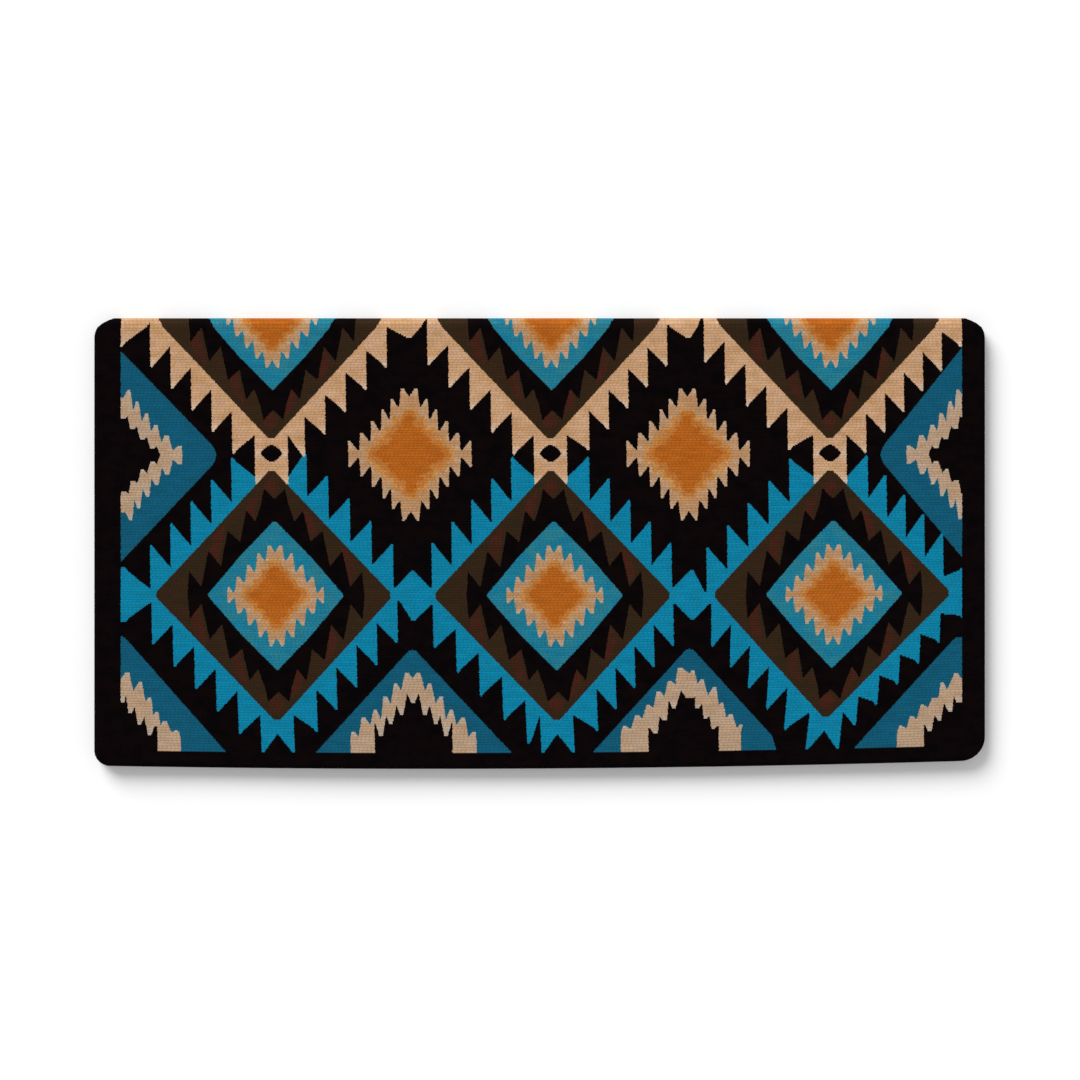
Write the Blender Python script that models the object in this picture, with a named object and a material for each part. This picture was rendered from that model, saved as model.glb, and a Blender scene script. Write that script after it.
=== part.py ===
"""Wool saddle blanket, folded once, with its woven pattern of serrated diamonds.

Lengths are metres, +Z is up and the blanket lies folded on the floor. X runs along the
fold, the fold is at +Y and both hems are at -Y. A point of the cloth is named by u, across
from the middle, and v, from the fold towards a hem along the middle of the cloth.
Every colour area is a run of weft yarn of its own, so it is a body of its own.
"""

import math

import bmesh
import bpy
import numpy as np
from mathutils import Matrix, Vector
from mathutils.geometry import delaunay_2d_cdt

for old in list(bpy.data.objects):
    bpy.data.objects.remove(old, do_unlink=True)

# The cloth
WIDTH = 0.9144
FOLDED_DEPTH = 0.4613
PLY = 0.0090
PLY_GAP = 0.0010
SIDE_BORDER = 0.0263
HEM_BORDER = 0.0165
HEM_CORNER_RADIUS = 0.0230
FOLD_CORNER_RADIUS = 0.0206
FOLD_CORNER_START = 0.0006
YARN_GAP = 0.0003
CORNER_STEPS = 6
EDGE_STEPS = 6
RIBS = 7
RIB_INNER = 0.0014
NOTCH_CLEARANCE = 0.0009

# The pattern is drafted in shares of half the field's width. Laying it on the cloth stretches
# it until the draft's end meets the hem border.
DRAFT_SIDE_SHARE = 1.0
DRAFT_END_SHARE = 1.02887
UNDER_SIDE_SHARE = 0.03052
UNDER_HEM_SHARE = 0.01915

# The pattern's lattice
TOOTH_SHARE = 0.04897
EYE_HALF_SHARE = 0.03945
TEETH = 6
FIELD_SHIFT_SHARE = 0.02065
LEAN_SHARE = 0.0142
ROW_SHARE = 0.65630
COLUMNS = 3
SPIKE_SHARE = 0.02506

# The tan zigzag and the frames that it edges
FOLD_FRAME_HALF_U_SHARE = 0.26294
FOLD_FRAME_HALF_V_SHARE = 0.28104
BAND_NOTCH_SHARE = 0.03528
BAND_TIP_SHARE = 0.11882
FOLD_JUNCTION_SHARE = 0.04456
LEG_END_SHARE = 0.41819
EYE_V_SHARE = 0.31933
EYE_REACH_SHARE = 0.02321
EYE_FLAT_SHARE = 0.00975

# The turquoise lattice and its frames
ROW_FRAME_HALF_U_SHARE = 0.27965
ROW_FRAME_HALF_V_SHARE = 0.29148
LOWER_BAND_NOTCH_SHARE = 0.05268
LOWER_BAND_TIP_SHARE = 0.12648
ROW_JUNCTION_SHARE = 0.05616
HEM_NOTCH_SHARE = 0.98747
UNDERLAP_SHARE = 0.00696

# Inside a frame
FRAME_TEETH = 4
FRAME_STEP_SHARE = 0.04433
FRAME_NOTCH_U_SHARE = 0.02158
FRAME_APEX_SHARE = 0.23207
FRAME_NOTCH_SUM_SHARE = 0.25342
FRAME_TIP_SUM_SHARE = 0.20144
FRAME_SIDE_SHARE = 0.21003
FRAME_SIDE_GAP_SHARE = 0.02553
FOLD_ROW_SHARE = 0.945
GEM_HALF_U_SHARE = 0.16245
GEM_HALF_V_SHARE = 0.17800
GEM_SHIFT_SHARE = 0.00511
CORE_TIP_SHARE = 0.13692
CORE_DEPTH_SHARE = 0.03528
CORE_SPIKES = 5
EMBER_HALF_U_SHARE = 0.06382
EMBER_HALF_V_SHARE = 0.08123
EMBER_WAIST_SHARE = 0.02785
EMBER_SHOULDER_U_SHARE = 0.72
EMBER_SHOULDER_V_SHARE = 0.62

# The flames between the frames
FLAME_V_SHARE = 0.32165
FLAME_TIP_SHARE = 0.18334
FLAME_DEPTH_SHARE = 0.04525
FLAME_SPIKES = 6
FLAME_EMBER_HALF_U_SHARE = 0.08355
FLAME_EMBER_HALF_V_SHARE = 0.10907
FLAME_EMBER_WAIST_SHARE = 0.04061
SPIKE_SLOPE_SHARE = 1.10
SPIKE_MIDDLE_SHARE = 0.01276

# The chevrons at the sides, hems and corners
SIDE_V_SHARE = 0.32397
SIDE_HALF_SHARE = 0.25180
SIDE_REACH_LEFT_SHARE = 0.23300
SIDE_REACH_RIGHT_SHARE = 0.19123
SIDE_TAN_LEFT_SHARE = 0.14690
SIDE_TAN_RIGHT_SHARE = 0.13112
SIDE_BLUNT_SHARE = 0.01392
SIDE_TAN_STEP_SHARE = 0.02692
SIDE_TAN_NOTCH_SHARE = 0.01439
SIDE_INNER_STEP_SHARE = 0.02460
SIDE_INNER_START_SHARE = 0.05222
SIDE_INNER_REACH_SHARE = 0.01184
SIDE_INNER_NOTCH_SHARE = 0.03110
TAN_UP_SHARE = 0.04177
TAN_DOWN_SHARE = 0.01857
TAN_STEP_SHARE = 0.02785
HEM_APEX_V_SHARE = 0.78997
HEM_HALF_SHARE = 0.22975
HEM_BLUNT_SHARE = 0.01857
HEM_TAN_V_SHARE = 0.83430
HEM_TAN_INNER_V_SHARE = 0.91553
HEM_TEETH = 3
FOOT_IN_SHARE = 0.09399
FOOT_OUT_SHARE = 0.14737
CORNER_APEX_LEFT_SHARE = 0.75888
CORNER_APEX_RIGHT_SHARE = 0.77512
CORNER_LEFT_SHARE = 0.25690
CORNER_RIGHT_SHARE = 0.22859

WELD = 0.0000004
STRAIGHT = 0.00001
SLIGHT_SHARE = 0.0001

MID_RADIUS = (PLY + PLY_GAP) / 2
FOLD_CENTRE_Y = FOLDED_DEPTH / 2 - PLY - PLY_GAP / 2
FOLD_CENTRE_Z = PLY + PLY_GAP / 2
TURN = math.pi / (RIBS - 1)
RIB_HALF = MID_RADIUS * math.tan(TURN / 2)
SPINE_V = (RIBS - 2) * RIB_HALF
FLAP_V = RIBS * RIB_HALF
TAPER = PLY / 2 * math.tan(TURN / 2)
PLAN_SHIFT = PLY + PLY_GAP / 2 - RIB_HALF - SPINE_V
HEM_V = FOLDED_DEPTH - PLAN_SHIFT
FIELD_HALF = WIDTH / 2 - SIDE_BORDER
FIELD_END = HEM_V - HEM_BORDER
ALONG = FIELD_END / DRAFT_END_SHARE
LEAST_NOTCH_SHARE = (FLAP_V + NOTCH_CLEARANCE) / ALONG
PITCH_SHARE = 2 * (EYE_HALF_SHARE + TEETH * TOOTH_SHARE)


def yarn(name, rgb, roughness=0.92):
    """A wool yarn's material."""
    made = bpy.data.materials.new(name)
    made.use_nodes = True
    shader = made.node_tree.nodes["Principled BSDF"]
    shader.inputs["Base Color"].default_value = (*rgb, 1.0)
    shader.inputs["Roughness"].default_value = roughness
    shader.inputs["Metallic"].default_value = 0.0
    made.diffuse_color = (*rgb, 1.0)
    return made


YARNS = {
    "black": yarn("yarn_black", (0.004, 0.003, 0.004)),
    "tan": yarn("yarn_tan", (0.610, 0.390, 0.205)),
    "orange": yarn("yarn_orange", (0.520, 0.165, 0.020)),
    "turquoise": yarn("yarn_turquoise", (0.010, 0.230, 0.410)),
    "teal": yarn("yarn_teal", (0.010, 0.125, 0.205)),
    "brown": yarn("yarn_brown", (0.046, 0.025, 0.014)),
}


# The pattern's outlines, in u and v before the pattern's lean


def edge_at(i):
    """How far from its motif's middle the lattice's upright edge i is."""
    return EYE_HALF_SHARE + i * TOOTH_SHARE


def centre_of(column):
    """The middle of a column of motifs, counted from the left."""
    return FIELD_SHIFT_SHARE + (column - (COLUMNS - 1) / 2) * PITCH_SHARE


def band_side(column, side, plain, slope, notch, tip, junction, way, least=None):
    """One side of a serrated band, from beside its motif's middle out to the junction.

    plain is the smooth edge's v at the middle and slope how it changes outwards. notch and
    tip are how far the notches and tips stand from the smooth edge, on the side way.
    """
    points = []
    for i in range(TEETH):
        across = edge_at(i)
        smooth = plain + slope * across
        low, high = smooth + way * notch, smooth + way * tip
        if least is not None:
            low, high = max(low, least), max(high, least)
        u = centre_of(column) + side * across
        points.append((u, high))
        points.append((u, low))
    points.append((centre_of(column) + side * edge_at(TEETH), junction))
    return points


def profile(plain, slope, notch, tip, junction, way, middle, least=None):
    """A serrated edge across every column and one more on each side, left to right."""
    points = []
    for column in range(-1, COLUMNS + 1):
        left = band_side(column, -1, plain, slope, notch, tip, junction, way, least)
        right = band_side(column, 1, plain, slope, notch, tip, junction, way, least)
        points += left[:0:-1][: 2 * TEETH] + middle(column) + right[1:-1]
    return points


def zigzag():
    """The tan band under the fold's frames, with the legs of its eyes."""

    def legs(column):
        u = centre_of(column)
        return [(u - EYE_HALF_SHARE, LEG_END_SHARE), (u + EYE_HALF_SHARE, LEG_END_SHARE)]

    slope = -FOLD_FRAME_HALF_V_SHARE / FOLD_FRAME_HALF_U_SHARE
    low = profile(
        FOLD_FRAME_HALF_V_SHARE,
        slope,
        BAND_NOTCH_SHARE,
        BAND_TIP_SHARE,
        FOLD_JUNCTION_SHARE,
        1,
        legs,
        LEAST_NOTCH_SHARE,
    )
    return low + [(u, -v) for u, v in reversed(low)]


def lattice():
    """The turquoise bands round the row's frames."""
    slope = ROW_FRAME_HALF_V_SHARE / ROW_FRAME_HALF_U_SHARE
    top, bottom = ROW_SHARE - ROW_FRAME_HALF_V_SHARE, ROW_SHARE + ROW_FRAME_HALF_V_SHARE

    def under(column):
        u = centre_of(column)
        start = top + slope * EYE_HALF_SHARE - BAND_NOTCH_SHARE
        rise = BAND_TIP_SHARE - BAND_NOTCH_SHARE - slope * TOOTH_SHARE
        lift = rise / TOOTH_SHARE * UNDERLAP_SHARE
        inner = EYE_HALF_SHARE - UNDERLAP_SHARE
        deep = LEG_END_SHARE + UNDERLAP_SHARE
        return [
            (u - inner, start + lift),
            (u - inner, deep),
            (u + inner, deep),
            (u + inner, start + lift),
        ]

    def apex(column):
        u = centre_of(column)
        tip = bottom - slope * EYE_HALF_SHARE + LOWER_BAND_TIP_SHARE
        return [(u - EYE_HALF_SHARE, tip), (u, HEM_NOTCH_SHARE), (u + EYE_HALF_SHARE, tip)]

    over, below = ROW_SHARE - ROW_JUNCTION_SHARE, ROW_SHARE + ROW_JUNCTION_SHARE
    upper = profile(top, slope, BAND_NOTCH_SHARE, BAND_TIP_SHARE, over, -1, under)
    lower = profile(
        bottom, -slope, LOWER_BAND_NOTCH_SHARE, LOWER_BAND_TIP_SHARE, below, 1, apex
    )
    return upper + lower[::-1]


def diamond(u, v, half_u, half_v):
    """A plain diamond."""
    return [(u + half_u, v), (u, v + half_v), (u - half_u, v), (u, v - half_v)]


def around(u, v, quarter):
    """A closed outline from one quarter's points, from the top out to the side."""
    right_low = [(u + a, v + b) for a, b in quarter]
    right_high = [(u + a, v - b) for a, b in reversed(quarter)]
    left_high = [(u - a, v - b) for a, b in quarter]
    left_low = [(u - a, v + b) for a, b in reversed(quarter)]
    return tidy(right_low + right_high + left_high + left_low)


def tidy(points):
    """Drops points that repeat the one before."""
    kept = []
    for p in points:
        if not kept or math.dist(p, kept[-1]) > SLIGHT_SHARE:
            kept.append(p)
    while math.dist(kept[0], kept[-1]) <= SLIGHT_SHARE:
        kept.pop()
    return kept


def ring(u, v, share):
    """The serrated inner edge of a frame."""
    quarter = [(0.0, FRAME_APEX_SHARE)]
    quarter.append((FRAME_NOTCH_U_SHARE, FRAME_APEX_SHARE - FRAME_NOTCH_U_SHARE / 2))
    for i in range(FRAME_TEETH):
        tip = FRAME_NOTCH_U_SHARE * 2 + i * FRAME_STEP_SHARE
        quarter.append((tip, FRAME_TIP_SUM_SHARE - tip))
        if i < FRAME_TEETH - 1:
            notch = tip + FRAME_NOTCH_U_SHARE
            quarter.append((notch, FRAME_NOTCH_SUM_SHARE - notch))
    quarter += [(FRAME_SIDE_SHARE, FRAME_SIDE_GAP_SHARE), (FRAME_SIDE_SHARE, 0.0)]
    return around(u, v, [(a * share, b * share) for a, b in quarter])


def spiky(u, v, tip, depth, spikes, share=1.0):
    """A diamond of upright spikes, double pointed at its top and bottom."""
    first = tip - SPIKE_SLOPE_SHARE * SPIKE_SHARE * 3 / 4
    quarter = [(0.0, first - SPIKE_MIDDLE_SHARE)]
    for i in range(spikes):
        across = (i + 1) * SPIKE_SHARE - SPIKE_SHARE / 8
        high = first - SPIKE_SLOPE_SHARE * SPIKE_SHARE * i
        quarter.append((across - SPIKE_SHARE / 5, high))
        quarter.append((across, max(high - depth, 0.0)))
    return around(u, v, [(a * share, b * share) for a, b in quarter])


def ember(u, v, half_u, half_v, waist):
    """The blunt cross shape of the orange middle."""
    quarter = [(waist / 2, half_v), (waist, half_v * EMBER_SHOULDER_V_SHARE)]
    quarter += [(half_u * EMBER_SHOULDER_U_SHARE, waist), (half_u, waist / 2)]
    return around(u, v, quarter)


def side_chevron(side):
    """The teal, tan and black outlines of the chevron at a side border."""
    reach = SIDE_REACH_LEFT_SHARE if side < 0 else SIDE_REACH_RIGHT_SHARE
    tan = SIDE_TAN_LEFT_SHARE if side < 0 else SIDE_TAN_RIGHT_SHARE
    lean = LEAN_SHARE * SIDE_V_SHARE
    wall = side * DRAFT_SIDE_SHARE - lean
    outside = wall + side * UNDER_SIDE_SHARE
    apex = wall - side * reach
    slope = SIDE_HALF_SHARE / reach
    far = SIDE_HALF_SHARE + slope * UNDER_SIDE_SHARE
    blunt = SIDE_BLUNT_SHARE * slope / 2
    teal = [
        (outside, SIDE_V_SHARE - far),
        (apex + side * SIDE_BLUNT_SHARE / 2, SIDE_V_SHARE - blunt),
        (apex, SIDE_V_SHARE),
        (apex + side * SIDE_BLUNT_SHARE / 2, SIDE_V_SHARE + blunt),
        (outside, SIDE_V_SHARE + far),
    ]
    up, down = [], []
    start = wall - side * tan
    for i in range(TEETH + 1):
        near = start + side * i * SPIKE_SHARE
        tip = SIDE_TAN_STEP_SHARE * (i + 1) - SIDE_TAN_STEP_SHARE / 5
        up += [(near, tip), (near + side * SPIKE_SHARE * 4 / 5, tip - SIDE_TAN_NOTCH_SHARE)]
    for i in range(TEETH - 1):
        near = start + side * (SIDE_INNER_START_SHARE + i * SPIKE_SHARE)
        tip = SIDE_INNER_REACH_SHARE + SIDE_INNER_STEP_SHARE * i
        down.append((near + side * SPIKE_SHARE / 2, tip))
        down.append((near + side * SPIKE_SHARE, tip + SIDE_INNER_NOTCH_SHARE))
    down.insert(0, (start + side * SIDE_INNER_START_SHARE, 0.0))
    up = [p for p in up if abs(p[0]) < abs(outside)]
    down = [p for p in down if abs(p[0]) < abs(outside)]
    top = [(u, SIDE_V_SHARE - v) for u, v in up] + [(outside, SIDE_V_SHARE - up[-1][1])]
    low = [(outside, SIDE_V_SHARE + up[-1][1])] + [(u, SIDE_V_SHARE + v) for u, v in reversed(up)]
    tan_outline = tidy(top + low)
    inner_top = [(u, SIDE_V_SHARE - v) for u, v in down] + [(outside, SIDE_V_SHARE - down[-1][1])]
    inner_low = [(outside, SIDE_V_SHARE + down[-1][1])]
    inner_low += [(u, SIDE_V_SHARE + v) for u, v in reversed(down)]
    return teal, tan_outline, tidy(inner_top + inner_low)


def hem_chevron(u, apex_v, half):
    """The teal, tan and black outlines of a chevron that stands on the hem border."""
    end = DRAFT_END_SHARE + UNDER_HEM_SHARE
    slope = (DRAFT_END_SHARE - apex_v) / half
    far = half + UNDER_HEM_SHARE / slope
    blunt = HEM_BLUNT_SHARE / 2
    teal = [
        (u - far, end),
        (u - blunt, apex_v + blunt * slope / 2),
        (u + blunt, apex_v + blunt * slope / 2),
        (u + far, end),
    ]
    up = [(0.0, HEM_TAN_V_SHARE + TAN_STEP_SHARE / 2)]
    for i in range(TEETH):
        across = SPIKE_SHARE * i + SPIKE_SHARE * 3 / 4
        high = HEM_TAN_V_SHARE + TAN_STEP_SHARE * i
        up += [(across - SPIKE_SHARE / 4, high), (across, high + TAN_UP_SHARE)]
    up[-1] = (FOOT_OUT_SHARE, up[-1][1] - TAN_STEP_SHARE / 2)
    up.append((FOOT_OUT_SHARE, end))
    tan_outline = tidy(
        [(u - a, b) for a, b in reversed(up)] + [(u + a, b) for a, b in up]
    )
    down = [(0.0, HEM_TAN_INNER_V_SHARE)]
    for i in range(HEM_TEETH):
        across = SPIKE_SHARE * i + SPIKE_SHARE / 2
        high = HEM_TAN_INNER_V_SHARE + TAN_STEP_SHARE * i
        down += [(across, high - TAN_DOWN_SHARE), (across + SPIKE_SHARE / 2, high + TAN_STEP_SHARE)]
    down += [(FOOT_IN_SHARE, down[-1][1] - TAN_DOWN_SHARE), (FOOT_IN_SHARE, end)]
    inner = tidy([(u - a, b) for a, b in reversed(down)] + [(u + a, b) for a, b in down])
    return teal, tan_outline, inner


def painted():
    """Every outline as (piece, colour, points), each one over those before it."""
    layers = [("lattice", "turquoise", lattice()), ("zigzag", "tan", zigzag())]
    places = ("left", "middle", "right")
    for column in range(COLUMNS):
        u = centre_of(column)
        eye = [(EYE_FLAT_SHARE, EYE_REACH_SHARE), (EYE_REACH_SHARE, EYE_FLAT_SHARE)]
        layers.append(("zigzag", "black", around(u, EYE_V_SHARE, eye)))
    for column, place in enumerate(places):
        u = centre_of(column)
        for row, v, half_u, half_v, share in (
            ("fold", 0.0, FOLD_FRAME_HALF_U_SHARE, FOLD_FRAME_HALF_V_SHARE, FOLD_ROW_SHARE),
            ("row", ROW_SHARE, ROW_FRAME_HALF_U_SHARE, ROW_FRAME_HALF_V_SHARE, 1.0),
        ):
            frame, medallion = f"{row}_frame_{place}", f"{row}_medallion_{place}"
            gem_u = u + GEM_SHIFT_SHARE * share
            gem = diamond(gem_u, v, GEM_HALF_U_SHARE * share, GEM_HALF_V_SHARE * share)
            core = spiky(gem_u, v, CORE_TIP_SHARE, CORE_DEPTH_SHARE, CORE_SPIKES, share)
            fire = ember(
                gem_u,
                v,
                EMBER_HALF_U_SHARE * share,
                EMBER_HALF_V_SHARE * share,
                EMBER_WAIST_SHARE * share,
            )
            layers += [
                (frame, "brown", diamond(u, v, half_u, half_v)),
                (medallion, "black", ring(u, v, share)),
                (medallion, "turquoise", gem),
                (medallion, "tan", core),
                (medallion, "orange", fire),
            ]
    for place, column in (("left", 0), ("right", 1)):
        u = centre_of(column) + PITCH_SHARE / 2
        name = f"flame_{place}"
        flame = spiky(u, FLAME_V_SHARE, FLAME_TIP_SHARE, FLAME_DEPTH_SHARE, FLAME_SPIKES)
        layers.append((name, "tan", flame))
        fire = ember(
            u,
            FLAME_V_SHARE,
            FLAME_EMBER_HALF_U_SHARE,
            FLAME_EMBER_HALF_V_SHARE,
            FLAME_EMBER_WAIST_SHARE,
        )
        layers.append((name, "orange", fire))
        teal, tan, inner = hem_chevron(u, HEM_APEX_V_SHARE, HEM_HALF_SHARE)
        name = f"hem_chevron_{place}"
        layers += [(name, "teal", teal), (name, "tan", tan), ("ground", "black", inner)]
    for place, side in (("left", -1), ("right", 1)):
        name = f"side_chevron_{place}"
        teal, tan, inner = side_chevron(side)
        layers += [(name, "teal", teal), (name, "tan", tan), ("ground", "black", inner)]
        name = f"corner_chevron_{place}"
        u = side * DRAFT_SIDE_SHARE - LEAN_SHARE * DRAFT_END_SHARE
        apex = CORNER_APEX_LEFT_SHARE if side < 0 else CORNER_APEX_RIGHT_SHARE
        half = CORNER_LEFT_SHARE if side < 0 else CORNER_RIGHT_SHARE
        teal, tan, inner = hem_chevron(u, apex, half)
        layers += [(name, "teal", teal), (name, "tan", tan), ("ground", "black", inner)]
    laid = []
    for piece, colour, outline in layers:
        points = [((u + LEAN_SHARE * v) * FIELD_HALF, v * ALONG) for u, v in outline]
        laid.append((piece, colour, points))
    far, over = WIDTH, HEM_V + HEM_BORDER
    laid += [
        ("ground", "black", [(-far, -over), (-FIELD_HALF, -over), (-FIELD_HALF, over), (-far, over)]),
        ("ground", "black", [(FIELD_HALF, -over), (far, -over), (far, over), (FIELD_HALF, over)]),
        ("ground", "black", [(-far, FIELD_END), (far, FIELD_END), (far, over), (-far, over)]),
    ]
    return laid


LAYERS = painted()


def inside(points, outline):
    """Which of the points are inside an outline."""
    us, vs = points[:, 0], points[:, 1]
    odd = np.zeros(len(points), bool)
    loop = np.asarray(outline)
    for (u0, v0), (u1, v1) in zip(loop, np.roll(loop, -1, axis=0)):
        if v0 == v1:
            continue
        crosses = (v0 > vs) != (v1 > vs)
        odd ^= crosses & (us < (u1 - u0) * (vs - v0) / (v1 - v0) + u0)
    return odd


def woven(points):
    """The piece and colour at each point, as an index of LAYERS, or -1 for bare ground."""
    points = np.asarray(points, float)
    found = np.full(len(points), -1)
    for i, (_, _, outline) in enumerate(LAYERS):
        found[inside(points, outline)] = i
    return found


# The outline of one flap


def pulled_in(depth):
    """How far the side is drawn in at a distance from the fold, in plan."""
    if depth >= FOLD_CORNER_RADIUS:
        return 0.0
    short = FOLD_CORNER_RADIUS - depth
    return FOLD_CORNER_RADIUS - math.sqrt(FOLD_CORNER_RADIUS**2 - short**2)


def flap_edge():
    """The selvedge and hem of a flap, from the fold down the right side and back up."""
    right = []
    start = FLAP_V + PLAN_SHIFT
    for i in range(CORNER_STEPS):
        depth = start + (FOLD_CORNER_RADIUS - start) * i / (CORNER_STEPS - 1)
        right.append((WIDTH / 2 - pulled_in(depth), depth - PLAN_SHIFT, 1.0, 0.0))
    for i in range(CORNER_STEPS + 1):
        a = math.pi / 2 * i / CORNER_STEPS
        right.append(
            (
                WIDTH / 2 - HEM_CORNER_RADIUS * (1 - math.cos(a)),
                HEM_V - HEM_CORNER_RADIUS * (1 - math.sin(a)),
                math.cos(a),
                math.sin(a),
            )
        )
    left = [(-u, v, -a, b) for u, v, a, b in reversed(right)]
    return right + left


EDGE = flap_edge()


def cut(points, edges):
    """Splits a plan of points and edges into triangles that turn left.

    Gives the points, the triangles and the point that each given point became.
    """
    vectors = [Vector((u, v)) for u, v in points]
    verts, _, faces, came_from, *_ = delaunay_2d_cdt(vectors, edges, [], 0, WELD)
    where = np.array([(p.x, p.y) for p in verts])
    became = {}
    for k, givens in enumerate(came_from):
        for g in givens:
            became[g] = k
    triangles = []
    for face in faces:
        for j in range(1, len(face) - 1):
            a, b, c = face[0], face[j], face[j + 1]
            twice = np.cross(where[b] - where[a], where[c] - where[a])
            if abs(twice) > 0:
                triangles.append((a, b, c) if twice > 0 else (a, c, b))
    return where, triangles, became


def loop_edges(start, count):
    """The edges of a closed loop of points."""
    return [(start + i, start + (i + 1) % count) for i in range(count)]


def sides_of(triangle):
    """A triangle's three directed sides."""
    return list(zip(triangle, triangle[1:] + triangle[:1]))


class Piece:
    """A run of cloth in a flap: its name, border loops, colours and where they meet."""

    def __init__(self, name, triangles, colours, where):
        self.name = name
        self.where = where
        self.colours = colours
        self.meets = self.colour_lines(triangles)
        pinned = {k for side in self.meets for k in side}
        self.loops = [self.straightened(x, pinned) for x in self.border(triangles)]
        self.loops.sort(key=self.area, reverse=True)
        self.middle = float(np.mean([where[k][0] for k in self.loops[0]]))
        self.reach = float(np.ptp([where[k][0] for k in self.loops[0]]))
        areas = {}
        for t, colour in zip(triangles, colours):
            areas[colour] = areas.get(colour, 0.0) + triangle_area(t, where)
        self.order = sorted(areas, key=areas.get, reverse=True)

    def colour_lines(self, triangles):
        """The sides at which two colours of the piece meet."""
        seen, lines = {}, set()
        for t, colour in zip(triangles, self.colours):
            for a, b in sides_of(t):
                key = (min(a, b), max(a, b))
                if seen.setdefault(key, colour) != colour:
                    lines.add(key)
        return lines

    def border(self, triangles):
        """The closed border loops, with the piece on the left."""
        sides = {side for t in triangles for side in sides_of(t)}
        onward = {}
        for a, b in sides:
            if (b, a) not in sides:
                if a in onward:
                    raise ValueError(f"{self.name}: two borders touch at {self.where[a]}")
                onward[a] = b
        loops = []
        while onward:
            at = next(iter(onward))
            loop = []
            while at in onward:
                loop.append(at)
                at = onward.pop(at)
            loops.append(loop)
        return loops

    def straightened(self, loop, pinned):
        """A loop without the free points that lie on a straight line."""
        kept = list(loop)
        i = 0
        while i < len(kept):
            a, b, c = (self.where[kept[j % len(kept)]] for j in (i - 1, i, i + 1))
            span = np.linalg.norm(c - a)
            off = abs(np.cross(b - a, c - a)) / span if span > 0 else span
            if kept[i] not in pinned and off < STRAIGHT:
                del kept[i]
                i = max(i - 2, 0)
            else:
                i += 1
        return kept

    def area(self, loop):
        """The signed area of a loop, which is below zero for a hole."""
        p = self.where[loop]
        q = np.roll(p, -1, axis=0)
        return float((p[:, 0] * q[:, 1] - p[:, 1] * q[:, 0]).sum() / 2)


def triangle_area(t, where):
    """The area of a triangle in the plan."""
    a, b, c = (where[i] for i in t)
    return abs(float(np.cross(b - a, c - a))) / 2


def flap_pieces():
    """Every piece of a flap, from the layers that show in its plan."""
    points, edges = [], []
    outline = [(u, v) for u, v, _, _ in EDGE]
    for loop in [outline] + [p for _, _, p in LAYERS]:
        edges += loop_edges(len(points), len(loop))
        points += loop
    where, triangles, _ = cut(points, edges)
    middles = np.array([where[list(t)].mean(axis=0) for t in triangles])
    held, layer = inside(middles, outline), woven(middles)
    triangles = [t for t, h in zip(triangles, held) if h]
    names = ["ground" if i < 0 else LAYERS[i][0] for i in layer[held]]
    colours = ["black" if i < 0 else LAYERS[i][1] for i in layer[held]]
    pieces = []
    for group in together(triangles, names):
        some = [triangles[k] for k in group]
        pieces.append(Piece(names[group[0]], some, [colours[k] for k in group], where))
    cells = [p for p in pieces if p.name == "ground" and p.reach < WIDTH / 2]
    cells.sort(key=lambda p: p.middle)
    for place, cell in zip(("left", "right"), cells):
        cell.name = f"cell_{place}"
    names = [p.name for p in pieces]
    doubled = sorted({n for n in names if names.count(n) > 1})
    if doubled:
        raise ValueError(f"pieces that fall apart: {doubled}")
    return sorted(pieces, key=lambda p: p.name)


def together(triangles, names):
    """Groups of triangles of one name that hang together."""
    by_side, group = {}, list(range(len(triangles)))

    def root(k):
        while group[k] != k:
            group[k] = group[group[k]]
            k = group[k]
        return k

    for k, t in enumerate(triangles):
        for a, b in sides_of(t):
            other = by_side.setdefault((min(a, b), max(a, b)), k)
            if names[other] == names[k]:
                group[root(k)] = root(other)
    found = {}
    for k in range(len(triangles)):
        found.setdefault(root(k), []).append(k)
    return list(found.values())


def rim_at(point):
    """The outward direction of the blanket's rim at a point, or nothing inside it."""
    for u, v, a, b in EDGE:
        if math.dist(point, (u, v)) < STRAIGHT:
            return np.array((a, b))
    return None


def drawn_in(points, rims):
    """A loop moved in by half the gap, but not along the blanket's rim."""
    count, lines = len(points), []
    for i in range(count):
        a, b = points[i], points[(i + 1) % count]
        along = (b - a) / np.linalg.norm(b - a)
        rim = rims[i] is not None and rims[(i + 1) % count] is not None
        shift = 0.0 if rim else YARN_GAP / 2
        lines.append((a + np.array((-along[1], along[0])) * shift, along))
    moved = []
    for i in range(count):
        (p, d), (q, e) = lines[i - 1], lines[i]
        twist = np.cross(d, e)
        flat = abs(twist) < SLIGHT_SHARE
        moved.append(q if flat else p + d * (np.cross(q - p, e) / twist))
    return moved


def column_spots(loop, at, moved, where):
    """A border point's places from the slab's bottom to its top, as plan and height."""
    point, rim = moved[at], rim_at(where[loop[at]])
    if rim is None:
        return [(point, 0.0), (point, PLY)]
    spots = []
    for j in range(EDGE_STEPS + 1):
        a = math.pi * (j / EDGE_STEPS - 1 / 2)
        spots.append((point - rim * PLY / 2 * (1 - math.cos(a)), PLY / 2 * (1 + math.sin(a))))
    return spots


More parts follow.
